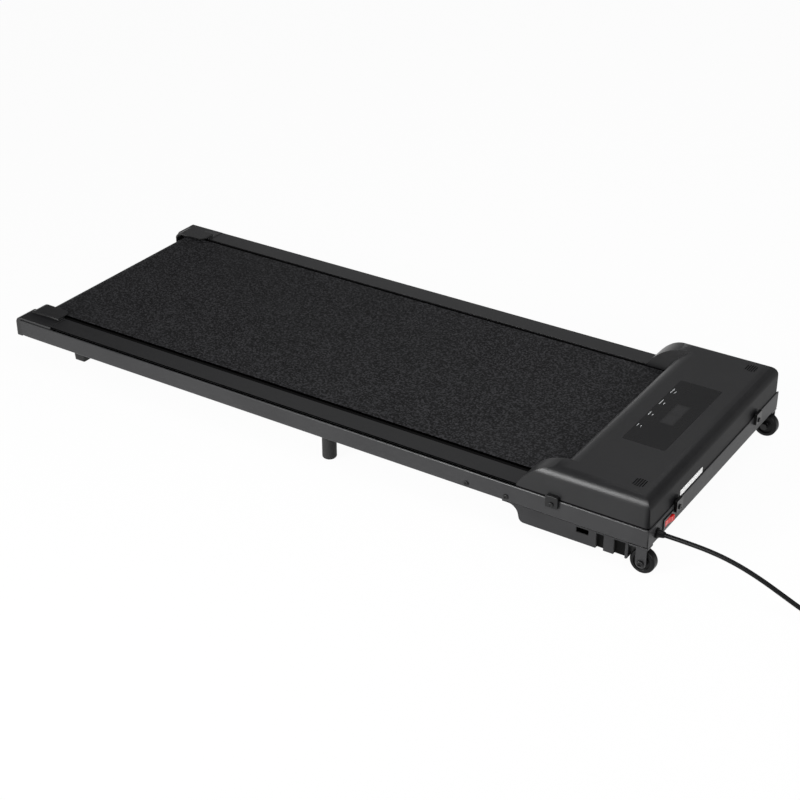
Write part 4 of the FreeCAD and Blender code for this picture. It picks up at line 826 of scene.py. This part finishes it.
def makePlugPins(frontY):
    tailX = plugLook["tail"][0]
    shape = bmesh.new()
    thin = plugLook["bladeThick"] * 0.5
    lowZ = plugLook["bladeZ"] - plugLook["bladeWidth"] * 0.5
    highZ = plugLook["bladeZ"] + plugLook["bladeWidth"] * 0.5
    for side in (-1, 1):
        middle = tailX + side * plugLook["bladeGap"] * 0.5
        roundedBlock(shape, (middle - thin, frontY - plugLook["bury"], lowZ),
                     (middle + thin, frontY + plugLook["bladeLength"], highZ),
                     plugLook["bladeRound"], plugLook["smallSegments"])
    reach = plugLook["pinLength"]
    radius = plugLook["pinRadius"]
    profile = [(-plugLook["bury"], 0.0), (-plugLook["bury"], radius)]
    profile += [(reach - radius * back, radius * wide) for back, wide in plugLook["pinTip"]]
    profile.append((reach, 0.0))
    spinProfile(shape, profile, Vector((tailX, frontY, plugLook["pinZ"])))
    shadeFaces(shape, True)
    pins = showPiece("plug_pins", shape, finishes["plain_steel"], "frame")
    evenShade(pins, False)
    return pins


cord = makeCord()
plugBack = plugLook["tail"][1] + plugLook["tailLength"]
plugFront = plugBack + plugLook["bodyLength"]
plugPieces = [makePlugBody(plugBack, plugFront), makePlugPins(plugFront)]
print("cord and plug made")


# the floor: white to the eye and in reflections, and still lit and shaded by the lamps
floorLook = {"size": 240.0, "shade": (236, 236, 236), "white": 0.96}


def makeFloor():
    finish, sock = startFinish("studio_floor")
    path = sock.add("ShaderNodeLightPath").socket.node
    kinds = ("Is Camera Ray", "Is Glossy Ray", "Is Transmission Ray")
    camera, glossy, through = [Sock(sock.tree, path.outputs[kind]) for kind in kinds]
    seen = sock.math("MINIMUM", camera + glossy + through, 1.0)
    plain = sock.add("ShaderNodeBsdfDiffuse", None, {"Color": colour(*floorLook["shade"])})
    glow = sock.add("ShaderNodeEmission", None, {"Color": (1.0, 1.0, 1.0, 1.0), "Strength": 1.0})
    closeMix(sock, seen * floorLook["white"], plain, glow)
    shape = bmesh.new()
    bmesh.ops.create_grid(shape, x_segments=1, y_segments=1, size=floorLook["size"] * 0.5)
    floor = linkMesh("studio_floor", shape, finish)


# the room: white round the horizon and dim overhead, with a glow behind the part and a dark flag beside it
roomLook = {"horizon": (0.94, 0.94, 0.94, 1.0), "horizonRamp": (0.04, 0.12),
            "overhead": (0.16, 0.16, 0.165, 1.0), "overheadRamp": (0.45, 0.68),
            "wall": (0.20, 0.20, 0.205, 1.0),
            "glow": (0.56, 0.56, 0.565, 1.0), "glowWay": (-0.472, 0.756, 0.454), "glowRamp": (0.972, 0.997),
            "flag": (0.05, 0.05, 0.052, 1.0), "flagWay": (-0.735, 0.523, 0.432), "flagRamp": (0.955, 0.990)}


def makeRoom():
    world = bpy.data.worlds.new("studio_room")
    world.use_nodes = True
    world.node_tree.nodes.clear()
    sock = Sock(world.node_tree)
    way = sock.add("ShaderNodeTexCoord", None, None, "Generated")
    height = sock.axes(way)[2]
    tone = roomLook["wall"]
    for patch in ("flag", "glow"):
        share = sock.dot(way, roomLook[patch + "Way"]).ramp(*roomLook[patch + "Ramp"])
        tone = sock.blend(share, tone, roomLook[patch])
    tone = sock.blend(height.ramp(*roomLook["overheadRamp"]), tone, roomLook["overhead"])
    tone = sock.blend(height.ramp(*roomLook["horizonRamp"]), roomLook["horizon"], tone)
    sky = sock.add("ShaderNodeBackground", None, {"Color": tone, "Strength": 1.0})
    sock.add("ShaderNodeOutputWorld", None, {"Surface": sky})
    bpy.context.scene.world = world


# soft boxes: where each stands, what it looks at, its size, its power and the spread of its beam
lampLook = {
    "edgeBox": {"place": (-0.65, -2.30, 1.02), "aim": (0.40, -0.24, 0.10),
                "size": (0.9, 1.40), "power": 18.4, "spread": 90.0},
    "sideStrip": {"place": (-1.62, -2.30, 0.62), "aim": (-0.30, -0.24, 0.08),
                  "size": (1.0, 0.95), "power": 13.0, "spread": 180.0},
    "frontBox": {"place": (2.30, -0.70, 1.30), "aim": (0.60, 0.0, 0.08),
                 "size": (1.2, 1.0), "power": 24.0, "spread": 180.0},
    "topBox": {"place": (0.70, 0.10, 2.70), "aim": (0.55, 0.0, 0.0),
               "size": (1.6, 1.2), "power": 16.0, "spread": 180.0},
    "backBox": {"place": (0.45, 1.90, 1.95), "aim": (0.55, 0.0, 0.12),
                "size": (1.6, 0.5), "power": 3.0, "spread": 180.0},
}


def makeLamps():
    for name, look in lampLook.items():
        lamp = bpy.data.lights.new(name, "AREA")
        lamp.shape = "RECTANGLE"
        lamp.size = look["size"][0]
        lamp.size_y = look["size"][1]
        lamp.energy = look["power"]
        lamp.spread = math.radians(look["spread"])
        stand = bpy.data.objects.new(name, lamp)
        stand.location = look["place"]
        away = Vector(look["aim"]) - Vector(look["place"])
        stand.rotation_euler = away.to_track_quat("-Z", "Y").to_euler()
        stand.visible_camera = False
        bpy.context.scene.collection.objects.link(stand)


# the camera stands where the photograph was taken from
shotLook = {"place": (1.3948, -2.1028, 1.4229), "tilt": 60.390, "turn": 32.949, "lens": 74.99,
            "sensor": 36.0}


def makeCamera():
    lens = bpy.data.cameras.new("shotCamera")
    lens.sensor_fit = "HORIZONTAL"
    lens.sensor_width = shotLook["sensor"]
    lens.lens = shotLook["lens"]
    camera = bpy.data.objects.new("shotCamera", lens)
    camera.location = shotLook["place"]
    camera.rotation_euler = (math.radians(shotLook["tilt"]), 0.0, math.radians(shotLook["turn"]))
    bpy.context.scene.collection.objects.link(camera)
    bpy.context.scene.camera = camera


makeFloor()
makeRoom()
makeLamps()
makeCamera()
bpy.context.scene.view_settings.view_transform = "Standard"
print("floor, lamps and camera set")

bpy.context.view_layer.update()
